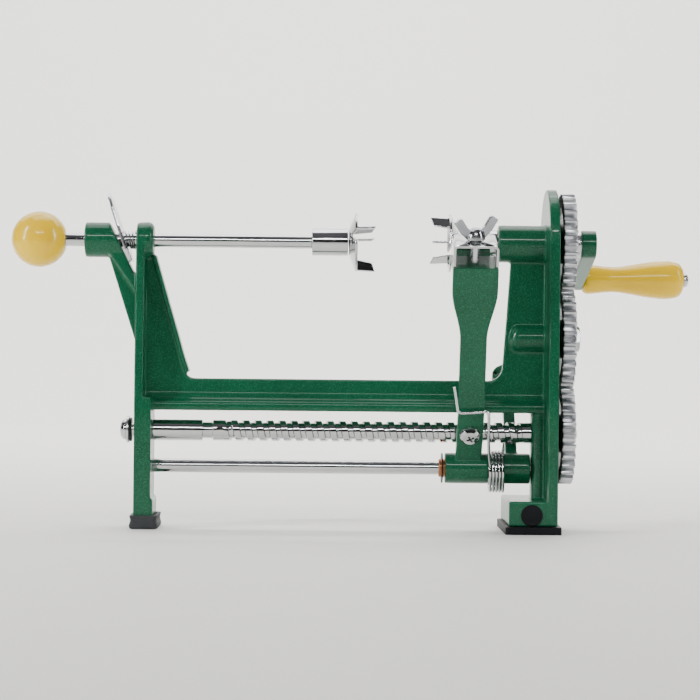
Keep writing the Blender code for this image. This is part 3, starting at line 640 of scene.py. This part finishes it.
def tooth_half(r, thick=3.3):
    base = PITCH_R * math.cos(math.radians(20))
    inv = lambda a: math.tan(a) - a
    return thick / (2 * PITCH_R) + inv(math.radians(20)) - inv(math.acos(min(1.0, base / r)))


def gear(name, z, phase, inset):
    """Outline of a toothed wheel, drawn in by inset for the broken edges."""
    step = 2 * math.pi / TEETH
    pts = []
    for i in range(TEETH):
        mid = (i + phase) * step
        root, tip = PITCH_R - 2.75 - inset, PITCH_R + 2.12 - inset
        radii = [root, root + 0.35, 30.2, 31.3, 32.4, tip - 0.3, tip]
        for side in (-1, 1):
            seq = radii if side < 0 else radii[::-1]
            for r in seq:
                half = tooth_half(r) - 0.8 * inset / PITCH_R
                if r == tip:
                    half -= 0.25 / r
                if r == root:
                    half += 0.40 / r
                a = mid + side * half
                pts.append((r * math.cos(a), r * math.sin(a)))
    return pts


def toothed_wheel(name, z, phase):
    levels = [(154.5, 0.5), (154.7, 0.15), (155.0, 0.0), (163.0, 0.0), (163.3, 0.15), (163.5, 0.5)]
    bm = bmesh.new()
    rings = []
    for x, inset in levels:
        rings.append([bm.verts.new(P(x, a, z + b)) for a, b in gear(name, z, phase, inset)])
    n = len(rings[0])
    for a, b in zip(rings, rings[1:]):
        for i in range(n):
            j = (i + 1) % n
            bm.faces.new((a[i], a[j], b[j], b[i]))

    # faces: from the tooth roots inwards over rim, recess and hub to the bore
    def ring_of(x, r, count):
        return [bm.verts.new(P(x, r * math.cos(2 * math.pi * i / count),
                               z + r * math.sin(2 * math.pi * i / count))) for i in range(count)]

    sides = []
    for x, s in ((154.5, -1), (163.5, 1)):
        steps = [(x, 27.6), (x, 25.2), (x - s * 0.4, 24.6), (x - s * 1.3, 24.0),
                 (x - s * 1.3, 13.4), (x - s * 0.4, 12.8), (x, 12.2), (x, 6.6), (x - s * 0.4, 6.2)]
        chain = [ring_of(px, r, ROUND) for px, r in steps]
        outer = rings[0] if s < 0 else rings[-1]
        per = n // TEETH
        for t in range(TEETH):
            # four face segments behind each tooth
            seg = [outer[t * per + k] for k in range(per)] + [outer[((t + 1) * per) % n]]
            base = int(round((t + phase) * 4)) - 2
            c = [chain[0][(base + k) % ROUND] for k in range(5)]
            verts = seg + c[::-1]
            face = bm.faces.new(verts if s > 0 else verts[::-1])
        for a, b in zip(chain, chain[1:]):
            for i in range(ROUND):
                j = (i + 1) % ROUND
                bm.faces.new((a[i], a[j], b[j], b[i]))
        sides.append(chain[-1])
    for i in range(ROUND):
        j = (i + 1) % ROUND
        bm.faces.new((sides[0][i], sides[0][j], sides[1][j], sides[1][i]))
    bmesh.ops.triangulate(bm, faces=[f for f in bm.faces if len(f.verts) > 4])
    bmesh.ops.recalc_face_normals(bm, faces=bm.faces)
    return smooth(from_bm(name, bm), 28)


done(toothed_wheel("upper_gear", SPINDLE_Z, 0.0), GEARS, "drive", "top_gear", slot="steel")
done(toothed_wheel("middle_gear", IDLER_Z, 0.5), GEARS, "idler", "idler_gear", slot="steel")
done(toothed_wheel("lower_gear", SCREW_Z, 0.0), GEARS, "lead_screw", "bottom_gear", slot="steel")

# ------------------------------------------------------------------ holders
def holder_plate(name, mirror, x_hub, angles, voxel=0.3):
    m = mirror
    line = [(0.0, 2.9), (0.0, 9.0), (1.4, 12.6), (4.1, 19.2), (4.9, 19.6), (5.6, 19.1), (5.6, 18.5),
            (2.9, 12.2), (1.5, 8.6), (1.5, 2.9)]
    loop = [(r, t) for t, r in line]
    loop = loop[::-1] if m > 0 else [(r, -t) for r, t in loop]
    mesh = bpy.data.meshes.new(name)
    verts = [(r * MM, 0, t * MM) for r, t in loop]
    mesh.from_pydata(verts, [(i, (i + 1) % len(verts)) for i in range(len(verts))], [])
    plate = place(link("plate", mesh), P(x_hub, 0, SPINDLE_Z), ALONG_X)
    mod = plate.modifiers.new("turn", "SCREW")
    mod.steps = mod.render_steps = 96
    mod.use_merge_vertices = True
    mod.merge_threshold = 1e-6
    plate = settle(plate)
    parts = []
    for i, deg in enumerate(angles):
        spin = Matrix.Rotation(math.radians(deg), 3, "X")
        fin = rounded([(m * x, r) for x, r in [(2.2, 10.7), (4.9, 18.9), (17.5, 19.6),
                                               (15.3, 13.4)]], 0.35, 3)
        parts.append(flat("fin", [fin], spin @ FACE_XZ, P(x_hub, 0, SPINDLE_Z), 1.5))
        pts = rounded([(m * x, r) for x, r in [(-3, 11.0), (9, 11.0), (9, 24), (-3, 24)]], 0.6, 3)
        shift = spin @ Vector((0, -4.7 * MM, 0))
        plate = boolean(plate, flat("slot", [pts], spin @ FACE_XZ,
                                    P(x_hub, 0, SPINDLE_Z) + shift, 7.4), "DIFFERENCE")
    return cast(name, [plate] + parts, voxel, 3, keep=0.5)


done(turned("free_hub", [(-10.7, 9.0), (12.6, 9.0), (13.2, 8.9)], P(0, 0, SPINDLE_Z), bore=4.7,
            seg=96, edge=0.7), TURNED, "tail", "tail_hub", slot="chrome")
done(holder_plate("free_holder", 1, 13.9, (61, 180, 280)), CHROME, "tail", "tail_prong_plate",
     slot="chrome")
done(turned("free_holder_screw", [(13.6, 2.3), (15.7, 2.3), (15.7, 4.6), (16.9, 4.4), (17.7, 3.0)],
            P(0, 0, SPINDLE_Z), edge=0.3), STEEL, "feed_rod", "tail_screw", slot="steel")
done(turned("driven_hub", [(86.2, 9.0), (112.8, 9.0)], P(0, 0, SPINDLE_Z), bore=3.0, seg=96,
            edge=0.7), TURNED, "drive", "drive_hub", slot="chrome")
done(holder_plate("driven_holder", -1, 85.9, (90, 229, 333)), CHROME, "drive", "drive_prong_plate",
     slot="chrome")
done(turned("crank_spacer", [(163.8, 8.5), (168.5, 8.5)], P(0, 0, SPINDLE_Z), bore=6.1),
     STEEL, "drive", "spindle_spacer", slot="steel")

# ------------------------------------------------------------------ crank
HANDLE_Y, HANDLE_Z = 80.0, 170.5
fall = math.degrees(math.atan2(HANDLE_Z - SPINDLE_Z, HANDLE_Y))
crank_out = [(y, z + SPINDLE_Z) for y, z in arc(0, 0, 9.3, 90 + fall, 270 + fall, 24)]
crank_out += arc(HANDLE_Y, HANDLE_Z, 7.7, -90 + fall, 90 + fall, 20)
done(cast("crank", [along_x("c", [crank_out], 168.7, 178.6)], 0.5, 8, keep=0.5), GREEN, "drive",
     "crank_arm", slot="green_enamel")
done(turned("grip_bolt", [(170.3, 3.0), (249.9, 3.0), (249.9, 4.9), (252.0, 4.9), (253.0, 3.6)],
            P(0, HANDLE_Y, HANDLE_Z), edge=0.3), STEEL, "drive", "handle_bolt", slot="steel")
knots = [(178.9, 8.4), (180.2, 9.7), (183.0, 10.3), (189.0, 9.75), (197.0, 8.9), (204.0, 9.0),
         (213.0, 10.4), (225.0, 12.4), (235.0, 13.3), (242.0, 13.0), (246.6, 11.4), (249.0, 8.6)]
curve = [(p.x, p.y) for p in through([Vector((a, b, 0)) for a, b in knots], 5)]
done(turned("grip", [(178.9, 3.2)] + curve + [(249.3, 7.4), (249.3, 3.2)], P(0, HANDLE_Y, HANDLE_Z),
            bore=None, seg=96, edge=0), YELLOW, "grip", "handle_grip", slot="yellow_plastic")

# ------------------------------------------------------------------ knob
ball = [(-192 + 18.5 * math.sin(math.radians(a)), 18.5 * math.cos(math.radians(a)))
        for a in range(-90, 71, 4)]
ball[0] = (ball[0][0], 0.0)
done(turned("ball", ball, P(0, 0, SPINDLE_Z), seg=96, edge=0.5), YELLOW, "feed_rod", "ball_knob",
     slot="yellow_plastic")

# ------------------------------------------------------------------ lead screw
def lead_screw():
    pitch, turns, seg, x_start = 8.0, 25, 48, -74.5
    rc, rr = 6.9, 5.4
    offs = [(0.0, rc - 0.18), (0.22, rc), (3.98, rc), (4.2, rc - 0.18), (4.55, rr + 0.2),
            (4.8, rr), (7.4, rr), (7.65, rr + 0.2)]
    m = len(offs)
    n = seg * turns
    bm = bmesh.new()
    start = math.radians(139) + math.pi

    def vert(x, r, i):
        a = start + 2 * math.pi * i / seg
        return bm.verts.new(P(x, r * math.cos(a), SCREW_Z + r * math.sin(a)))

    rows = []
    for i in range(n + 1):
        depth = min(1.0, i / (seg * 0.75), (n - i) / (seg * 0.75))   # the groove runs out
        rows.append([vert(x_start + pitch * i / seg + o, rc - (rc - r) * depth, i)
                     for o, r in offs])
    last = [rows[n][0]] + [vert(x_start + pitch * (n + i) / seg, rc - 0.02, i)
                           for i in range(1, seg + 1)]

    def corner(i, k):
        if k < m:
            return rows[i][k]
        return rows[i + seg][0] if i + seg <= n else last[i + seg - n]

    for i in range(n):
        for k in range(m):
            bm.faces.new((corner(i, k), corner(i + 1, k), corner(i + 1, k + 1), corner(i, k + 1)))

    def circle(x, r):
        return [vert(x, r, i) for i in range(seg)]

    def band(a, b):
        for i in range(seg):
            j = (i + 1) % seg
            bm.faces.new((a[i], a[j], b[j], b[i]))

    c0 = circle(x_start - 0.7, rc)
    for i in range(seg):
        bm.faces.new((c0[i], c0[(i + 1) % seg], rows[i + 1][0], rows[i][0]))
    bm.faces.new([c0[0]] + rows[0] + [rows[seg][0]])
    chain = [c0] + [circle(*p) for p in ((x_start - 0.95, rc - 0.3), (x_start - 1.0, rr),
                                         (-82.0, rr), (-82.2, 6.7), (-82.5, 7.0),
                                         (-115.1, 7.0), (-115.4, 6.7), (-115.4, 4.5),
                                         (-129.1, 4.5))]
    for b, a in zip(chain, chain[1:]):
        band(a, b)
    bm.faces.new(chain[-1][::-1])
    end_x = x_start + pitch * (n + seg) / seg + 0.7
    c1 = circle(end_x, rc)
    for i in range(seg):
        bm.faces.new((last[i], last[i + 1], c1[(i + 1) % seg], c1[i]))
    bm.faces.new([c1[0]] + rows[n] + [last[seg]])
    chain = [c1] + [circle(*p) for p in ((136.0, 6.9), (136.2, 6.6), (136.2, 5.0), (163.2, 5.0),
                                         (163.6, 4.7))]
    for a, b in zip(chain, chain[1:]):
        band(a, b)
    bm.faces.new(chain[-1])
    bmesh.ops.recalc_face_normals(bm, faces=bm.faces)
    return smooth(from_bm("threaded_shaft", bm), 38)


done(lead_screw(), TURNED, "lead_screw", "lead_screw", slot="chrome")


def cross_head(name, profile, at, turn, depth_at, size=5.4, wide=1.25, spin=20.0):
    """A domed screw head with a cross recess."""
    head = turned(name, profile, at, turn=turn, seg=72, edge=0.25)
    for a in (0, 90):
        bm = bmesh.new()
        bmesh.ops.create_cube(bm, size=1.0)
        for v in bm.verts:
            taper = 1.0 if v.co.z > 0 else 0.45
            v.co = Vector((v.co.x * size * MM * (1.0 if v.co.z > 0 else 0.35),
                           v.co.y * wide * MM * taper, v.co.z * 3.6 * MM))
        cutter = from_bm("cutter", bm, at + turn @ Vector((0, 0, depth_at * MM)),
                         turn @ Matrix.Rotation(math.radians(a + spin), 3, "Z"))
        head = boolean(head, cutter, "DIFFERENCE")
    return smooth(head, 35)


TO_LEFT = axis_frame((-1, 0, 0))
done(cross_head("left_end_screw", [(0.0, 6.95), (1.3, 6.9), (2.6, 6.1), (3.6, 4.6), (4.15, 2.6),
                                   (4.3, 0.0)], P(-133.0, 0, SCREW_Z), TO_LEFT, 3.4),
     CHROME, "lead_screw", "end_screw", slot="chrome")
done(turned("left_end_washer", [(-132.8, 8.9), (-131.1, 8.9)], P(0, 0, SCREW_Z), bore=2.6,
            edge=0.3), STEEL, "lead_screw", "end_washer", slot="steel")
done(turned("left_lock_washer", [(-130.9, 7.9), (-129.4, 7.9)], P(0, 0, SCREW_Z), bore=2.6,
            edge=0.3), BLACKED, "lead_screw", slot="black_steel")
done(cross_head("right_end_screw", [(0.0, 5.85), (1.2, 5.7), (2.3, 4.6), (3.1, 2.8), (3.4, 0.0)],
                P(163.9, 0, SCREW_Z), axis_frame((1, 0, 0)), 2.7, size=4.6, wide=1.1),
     CHROME, "lead_screw", "gear_screw", slot="chrome")

# ------------------------------------------------------------------ carriage
done(turned("guide_bush", [(75.1, 6.0), (135.9, 6.0)], P(0, 0, GUIDE_Z), bore=4.6, edge=0.4),
     BRONZE, "carriage", "carriage_bush", slot="copper_bush")
done(turned("retaining_ring", [(76.8, 10.0), (77.7, 10.0)], P(0, 0, GUIDE_Z), bore=6.1, edge=0.2),
     BLACKED, "carriage", "bush_washer", slot="black_steel")

COIL_Z, COIL_R, WIRE_R = 39.3, 13.2, 0.98
turns, per = 4.6, 48
count = int(turns * per)
coil = []
for i in range(count + 1):
    a = math.radians(160) + 2 * math.pi * i / per
    coil.append(Vector((108.6 + 9.8 * i / count, COIL_R * math.cos(a), COIL_Z + COIL_R * math.sin(a))))
leg1 = [(82.7, -42.5, 95.8), (83.9, -40.6, 90.0), (85.4, -37.6, 81.4), (86.6, -36.5, 79.4),
        (89.0, -36.2, 79.0), (97.0, -36.2, 79.4), (103.4, -36.2, 79.9), (105.4, -35.6, 79.0),
        (106.0, -34.2, 76.6), (106.6, -25.5, 62.0), (107.6, -16.8, 50.2)]
leg2 = [(118.8, 16.2, 46.0), (119.6, 18.6, 53.0), (120.8, 21.2, 59.0), (121.4, 23.6, 63.0)]
half = len(coil) // 2
front = through(leg1 + [coil[0], coil[2]], 8)[:-9] + coil[:half + 1]
rear = coil[half:] + through([coil[-3], coil[-1]] + leg2, 8)[9:]
twists(wire("arm_spring", front, WIRE_R), CHROME, "carriage", "arm",
       P(*coil[half]), P(coil[0][0] + 0.4, *coil[half][1:]), "torsion_spring", slot="chrome")
twists(wire("arm_spring_tail", rear, WIRE_R), CHROME, "carriage", "follower",
       P(*coil[half]), P(coil[-1][0] - 0.4, *coil[half][1:]), slot="chrome")

# ------------------------------------------------------------------ follower lever
POST_X0, POST_X1 = 119.8, 127.4
post_line = [(2.0, 47.0), (10.8, 57.6), (29.0, 79.0), (46.5, 99.6)]
lean = math.atan2(46.5 - 29.0, 99.6 - 79.0)
thumb = rod("thumb", 0, 0, 8.9, 0, at=P(122.5, 48.0, 101.4), length=6.6,
            turn=Matrix.Rotation(-lean, 3, "X") @ FACE_XZ)
eye = rod("eye", 0, 0, 1.35, 0, at=P(116.3, 48.0, 103.0), length=12,
          turn=Matrix.Rotation(-lean, 3, "X") @ FACE_XZ)
thumb = boolean(thumb, eye, "DIFFERENCE")
post = along_x("post", [mitred(post_line, 4.0, 4.0)], POST_X0, POST_X1)
sleeve = turned("sleeve", [(108.5, 10.1), (135.7, 10.1)], P(0, 0, GUIDE_Z), bore=6.2, edge=0)
done(cast("follower_lever", [post, thumb, sleeve], 0.5, 6, keep=0.5), GREEN, "follower",
     "thread_follower", slot="green_enamel")
PIN_DIR = Vector((0, -0.7547, 0.6561))
pin_foot = P(123.6, 0, SCREW_Z) - PIN_DIR * 12.7 * MM
done(turned("thread_pin", [(-1.0, 2.4), (4.6, 2.4), (4.7, 1.15), (6.9, 1.15)], pin_foot,
            turn=axis_frame(PIN_DIR), seg=32, edge=0.15), STEEL, "follower", "follower_pin",
     slot="steel")

# ------------------------------------------------------------------ blade arm
ARM_X, ARM_KNEE, ARM_TOP = 94.5, (-30.0, 79.0), (-64.0, 173.0)
ARM_LEAN, CLAMP_V = math.radians(20.0), 11.0
V = Vector((0, math.cos(ARM_LEAN), math.sin(ARM_LEAN)))
U = Vector((0, -math.sin(ARM_LEAN), math.cos(ARM_LEAN)))
TOP = P(ARM_X, *ARM_TOP)


def at_top(v, u):
    return (ARM_TOP[0] + v * V.y + u * U.y, ARM_TOP[1] + v * V.z + u * U.z)


foot_pt = (-0.616 * 6, GUIDE_Z + 0.788 * 6)
line2 = [foot_pt, (-26.6, 74.6), ARM_KNEE, (-32.0, 84.6), at_top(0, 0)]
arm = along_x("arm", [mitred(line2, 3, 3)], 79.8, 109.2)
half = lambda z: 8.65 + 6.05 * (lambda t: t * t * (3 - 2 * t))(min(1, max(0, (z - 127) / 31)))
zs = [30] + [127 + 1.0 * i for i in range(32)] + [186]
outline = [(ARM_X - half(z), z) for z in zs] + [(ARM_X + half(z), z) for z in reversed(zs)]
arm = boolean(arm, along_y("outline", [outline], -95, 12), "INTERSECT")
platform = along_x("platform", [[at_top(-2.9, -6), at_top(-2.9, 0), at_top(24, 0), at_top(24, -5),
                                 at_top(6, -5), at_top(2.9, -9)]], 79.85, 109.15)
sleeve = turned("sleeve", [(79.2, 10.1), (107.9, 10.1)], P(0, 0, GUIDE_Z), bore=6.2, edge=0)
done(cast("arm", [arm, platform, sleeve], 0.5, 6, keep=0.5), GREEN, "arm", "blade_arm",
     slot="green_enamel")
N_LOW = Vector((0, -0.788, -0.616))
screw_at = P(ARM_X, -19.8, 66.5)
done(cross_head("arm_pan_screw", [(-2.6, 2.5), (3.15, 2.5), (3.15, 6.95), (4.4, 6.95), (6.2, 6.4),
                                  (7.6, 4.9), (8.2, 2.8), (8.4, 0.0)], screw_at,
                axis_frame(N_LOW), 7.2, size=6.4, wide=1.5, spin=28.0),
     CHROME, "arm", "arm_screw", slot="chrome")
done(turned("clamp_stud", [(-9.2, 4.6), (-5.4, 4.6), (-5.4, 2.75), (19.0, 2.75)],
            TOP + V * CLAMP_V * MM, turn=axis_frame(U), edge=0.3), STEEL, "arm", "clamp_bolt",
     slot="steel")

# ------------------------------------------------------------------ blade holder and wing nut
HOLD = Matrix.Rotation(math.radians(110), 3, "X")
outer = [(-14.5, 0.4), (-14.5, 11.0)] + [(x - 11.5, y + 11.5) for x, y in arc(0, 0, 3, 180, 90, 12)]
outer += [(x + 11.5, y + 11.5) for x, y in arc(0, 0, 3, 90, 0, 12)] + [(14.5, 11.0), (14.5, 0.4)]
inner = [(13.0, 0.4), (13.0, 11.0)] + [(x + 11.5, y + 11.5) for x, y in arc(0, 0, 1.5, 0, 90, 10)]
inner += [(x - 11.5, y + 11.5) for x, y in arc(0, 0, 1.5, 90, 180, 10)] + [(-13.0, 11.0), (-13.0, 0.4)]
holder = flat("blade_channel", [outer + inner], HOLD, TOP + V * 11.5 * MM, 26)
SLOT = Matrix((V, -Vector((1, 0, 0)), U)).transposed()


def slot_pts():
    return [(x + s * 4.0, y) for s, a0 in ((1, -90), (-1, 90)) for x, y in arc(0, 0, 3.2, a0, a0 + 180, 14)]


holder = boolean(holder, flat("slot", [slot_pts()], SLOT, TOP + V * CLAMP_V * MM + U * 14 * MM, 6),
                 "DIFFERENCE")
done(smooth(bevel(holder, 0.28, 2, 50), 30), CHROME, "blade_holder", "blade_holder", slot="chrome")
blade_line = [at_top(3.0, 12.2), at_top(25.5, 12.2), at_top(27.8, 11.7), at_top(29.2, 10.2),
              at_top(30.2, 7.0), at_top(30.2, -2.6)]
edge_line = mitred(blade_line, 0.5, 0.5)
blade = along_x("blade", [edge_line], ARM_X - 11, ARM_X + 11)
blade = boolean(blade, flat("slot", [slot_pts()], SLOT, TOP + V * CLAMP_V * MM + U * 12 * MM, 4),
                "DIFFERENCE")
done(smooth(blade, 35), CHROME, "blade_holder", "peeler_blade", slot="chrome")

hub = turned("hub", [(15.0, 6.3), (17.6, 6.0), (19.6, 5.4), (21.4, 4.2), (22.5, 2.4), (22.8, 0.0)],
             TOP + V * CLAMP_V * MM, turn=axis_frame(U), edge=0.8)
spin = Matrix.Rotation(math.radians(22), 3, U)
wings = []
for side in (-1, 1):
    path = [(side * 3.9, 17.6), (side * 8.6, 22.0), (side * 13.0, 28.8)]
    tip = rounded(mitred(path, 2.9, 2.9), 1.2, 6)
    wings.append(flat("wing", [tip], spin @ HOLD, TOP + V * CLAMP_V * MM, 2.7))
done(cast("butterfly_nut", [hub] + wings, 0.28, 5, keep=0.6), DIECAST, "wing_nut", "wing_nut",
     slot="chrome")

# ------------------------------------------------------------------ lock lever and its spring
LEVER_FOOT, LEVER_TILT = (-130.8, 176.8), math.radians(19.0)
w = Vector((-math.sin(LEVER_TILT), 0, math.cos(LEVER_TILT)))
lever_turn = Matrix((Vector((0, 1, 0)), w, Vector((0, 1, 0)).cross(w))).transposed()
eye_at = (SPINDLE_Z - LEVER_FOOT[1]) / w.z
profile = [(-11, 0.0), (11, 0.0), (15, 8.0), (15, 24.0), (12.0, 38.0)]
profile += [(10.5 * math.cos(math.radians(a)), 39 + 8.6 * math.sin(math.radians(a)))
            for a in range(15, 166, 6)]
profile += [(-12.0, 38.0), (-15, 24.0), (-15, 8.0)]
hole = [(5.0 * math.cos(2 * math.pi * i / 48), eye_at + 0.3 + 6.0 * math.sin(2 * math.pi * i / 48))
        for i in range(48)]
lever = flat("release_lever", [rounded(profile, 1.2, 3), hole], lever_turn,
             P(LEVER_FOOT[0], 0, LEVER_FOOT[1]), 2.0)
done(smooth(bevel(lever, 0.3, 2, 40), 30), STEEL, "lock_lever", "lock_lever", slot="steel")
pts, turns, per = [], 3.3, 40
for i in range(int(turns * per) + 1):
    f = i / (turns * per)
    a = 2 * math.pi * i / per
    y, z = 5.6 * math.cos(a), 5.6 * math.sin(a)
    pts.append((-133.6 + 5.6 * f - math.tan(LEVER_TILT) * z * (1 - f), y, SPINDLE_Z + z))
face = P(-133.0, 0, SPINDLE_Z)
twists(wire("lever_spring", pts, 0.55), STEEL, "frame", "lock_lever",
       face + Vector((math.cos(LEVER_TILT), 0, math.sin(LEVER_TILT))) * 3.6 * MM, face,
       "clutch_spring", slot="steel")

# ------------------------------------------------------------------ stage, light, camera
def stage():
    """Pale floor that sweeps up into a backdrop."""
    bm = bmesh.new()
    line = [(-2.6, 0.0), (1.6, 0.0)]
    line += [(1.6 + 0.9 * math.sin(math.radians(a)), 0.9 - 0.9 * math.cos(math.radians(a)))
             for a in range(6, 91, 6)]
    line.append((2.5, 4.2))
    rows = [[bm.verts.new((x, y, z)) for y, z in line] for x in (-4.5, 4.5)]
    for i in range(len(line) - 1):
        bm.faces.new((rows[0][i], rows[1][i], rows[1][i + 1], rows[0][i + 1]))
    bmesh.ops.recalc_face_normals(bm, faces=bm.faces)
    obj = from_bm("studio_floor", bm)
    if obj.data.polygons[0].normal.z < 0:
        obj.data.flip_normals()
    obj.data.shade_smooth()
    g = Graph("studio_floor")
    tone = g.noise(1.5, 1.0)
    obj.data.materials.append(g.use(g.mix(tone, (0.93, 0.915, 0.885), (0.95, 0.935, 0.905)), 0.6,
                                    Specular_IOR_Level=0.2))


stage()


def area(name, at, look, size, power, colour=(1, 1, 1), size_y=None):
    light = bpy.data.lights.new(name, "AREA")
    light.shape = "RECTANGLE"
    light.size = size
    light.size_y = size_y or size
    light.energy = power
    light.color = colour
    obj = bpy.data.objects.new(name, light)
    bpy.context.scene.collection.objects.link(obj)
    obj.location = at
    obj.rotation_euler = (Vector(look) - Vector(at)).to_track_quat("-Z", "Y").to_euler()
    return obj


area("left_strip", (-1.45, -0.75, 0.72), (0, 0, 0.12), 0.12, 22, size_y=1.3)
area("right_strip", (1.5, -0.55, 0.72), (0, 0, 0.12), 0.10, 13, size_y=1.2)
area("front_strip", (0.0, -2.2, 1.25), (0, 0, 0.12), 1.5, 16, size_y=0.13)
area("top", (-0.1, 0.25, 1.7), (0, 0, 0.1), 1.2, 10, size_y=0.6)
area("back_wash", (0.0, 1.0, 1.9), (0, 2.5, 0.5), 3.4, 95, size_y=0.8)
area("floor_wash", (0.0, 1.2, 1.6), (0, 0.9, 0.0), 3.4, 14, size_y=0.5)

world = bpy.data.worlds.new("studio")
bpy.context.scene.world = world
world.use_nodes = True
wt = world.node_tree
bg = wt.nodes["Background"]
coord = wt.nodes.new("ShaderNodeTexCoord")
split = wt.nodes.new("ShaderNodeSeparateXYZ")
wt.links.new(coord.outputs["Generated"], split.inputs[0])
ramp = wt.nodes.new("ShaderNodeValToRGB")
wt.links.new(split.outputs["Z"], ramp.inputs["Fac"])
stops = [(0.0, (0.02, 0.02, 0.02, 1)), (0.30, (0.035, 0.035, 0.037, 1)), (1.0, (0.16, 0.16, 0.165, 1))]
while len(ramp.color_ramp.elements) < len(stops):
    ramp.color_ramp.elements.new(0.5)
for e, (pos, col) in zip(ramp.color_ramp.elements, stops):
    e.position = pos
    e.color = col
wt.links.new(ramp.outputs["Color"], bg.inputs["Color"])
bg.inputs["Strength"].default_value = 1.0

cam_data = bpy.data.cameras.new("camera")
cam_data.lens = 115.7
cam_data.sensor_width = 36
cam_data.clip_end = 30
cam = bpy.data.objects.new("camera", cam_data)
bpy.context.scene.collection.objects.link(cam)
cam.location = P(0, -1500, 121.2)
# level view along +Y, turned a little to the right, rolled by 0.57 degrees
aim = Vector((math.sin(0.0102), math.cos(0.0102), -0.0013)).normalized()
turn = aim.to_track_quat("-Z", "Y").to_matrix()
cam.rotation_euler = (Matrix.Rotation(-0.0100, 3, aim) @ turn).to_euler()
bpy.context.scene.camera = cam

bpy.context.view_layer.update()
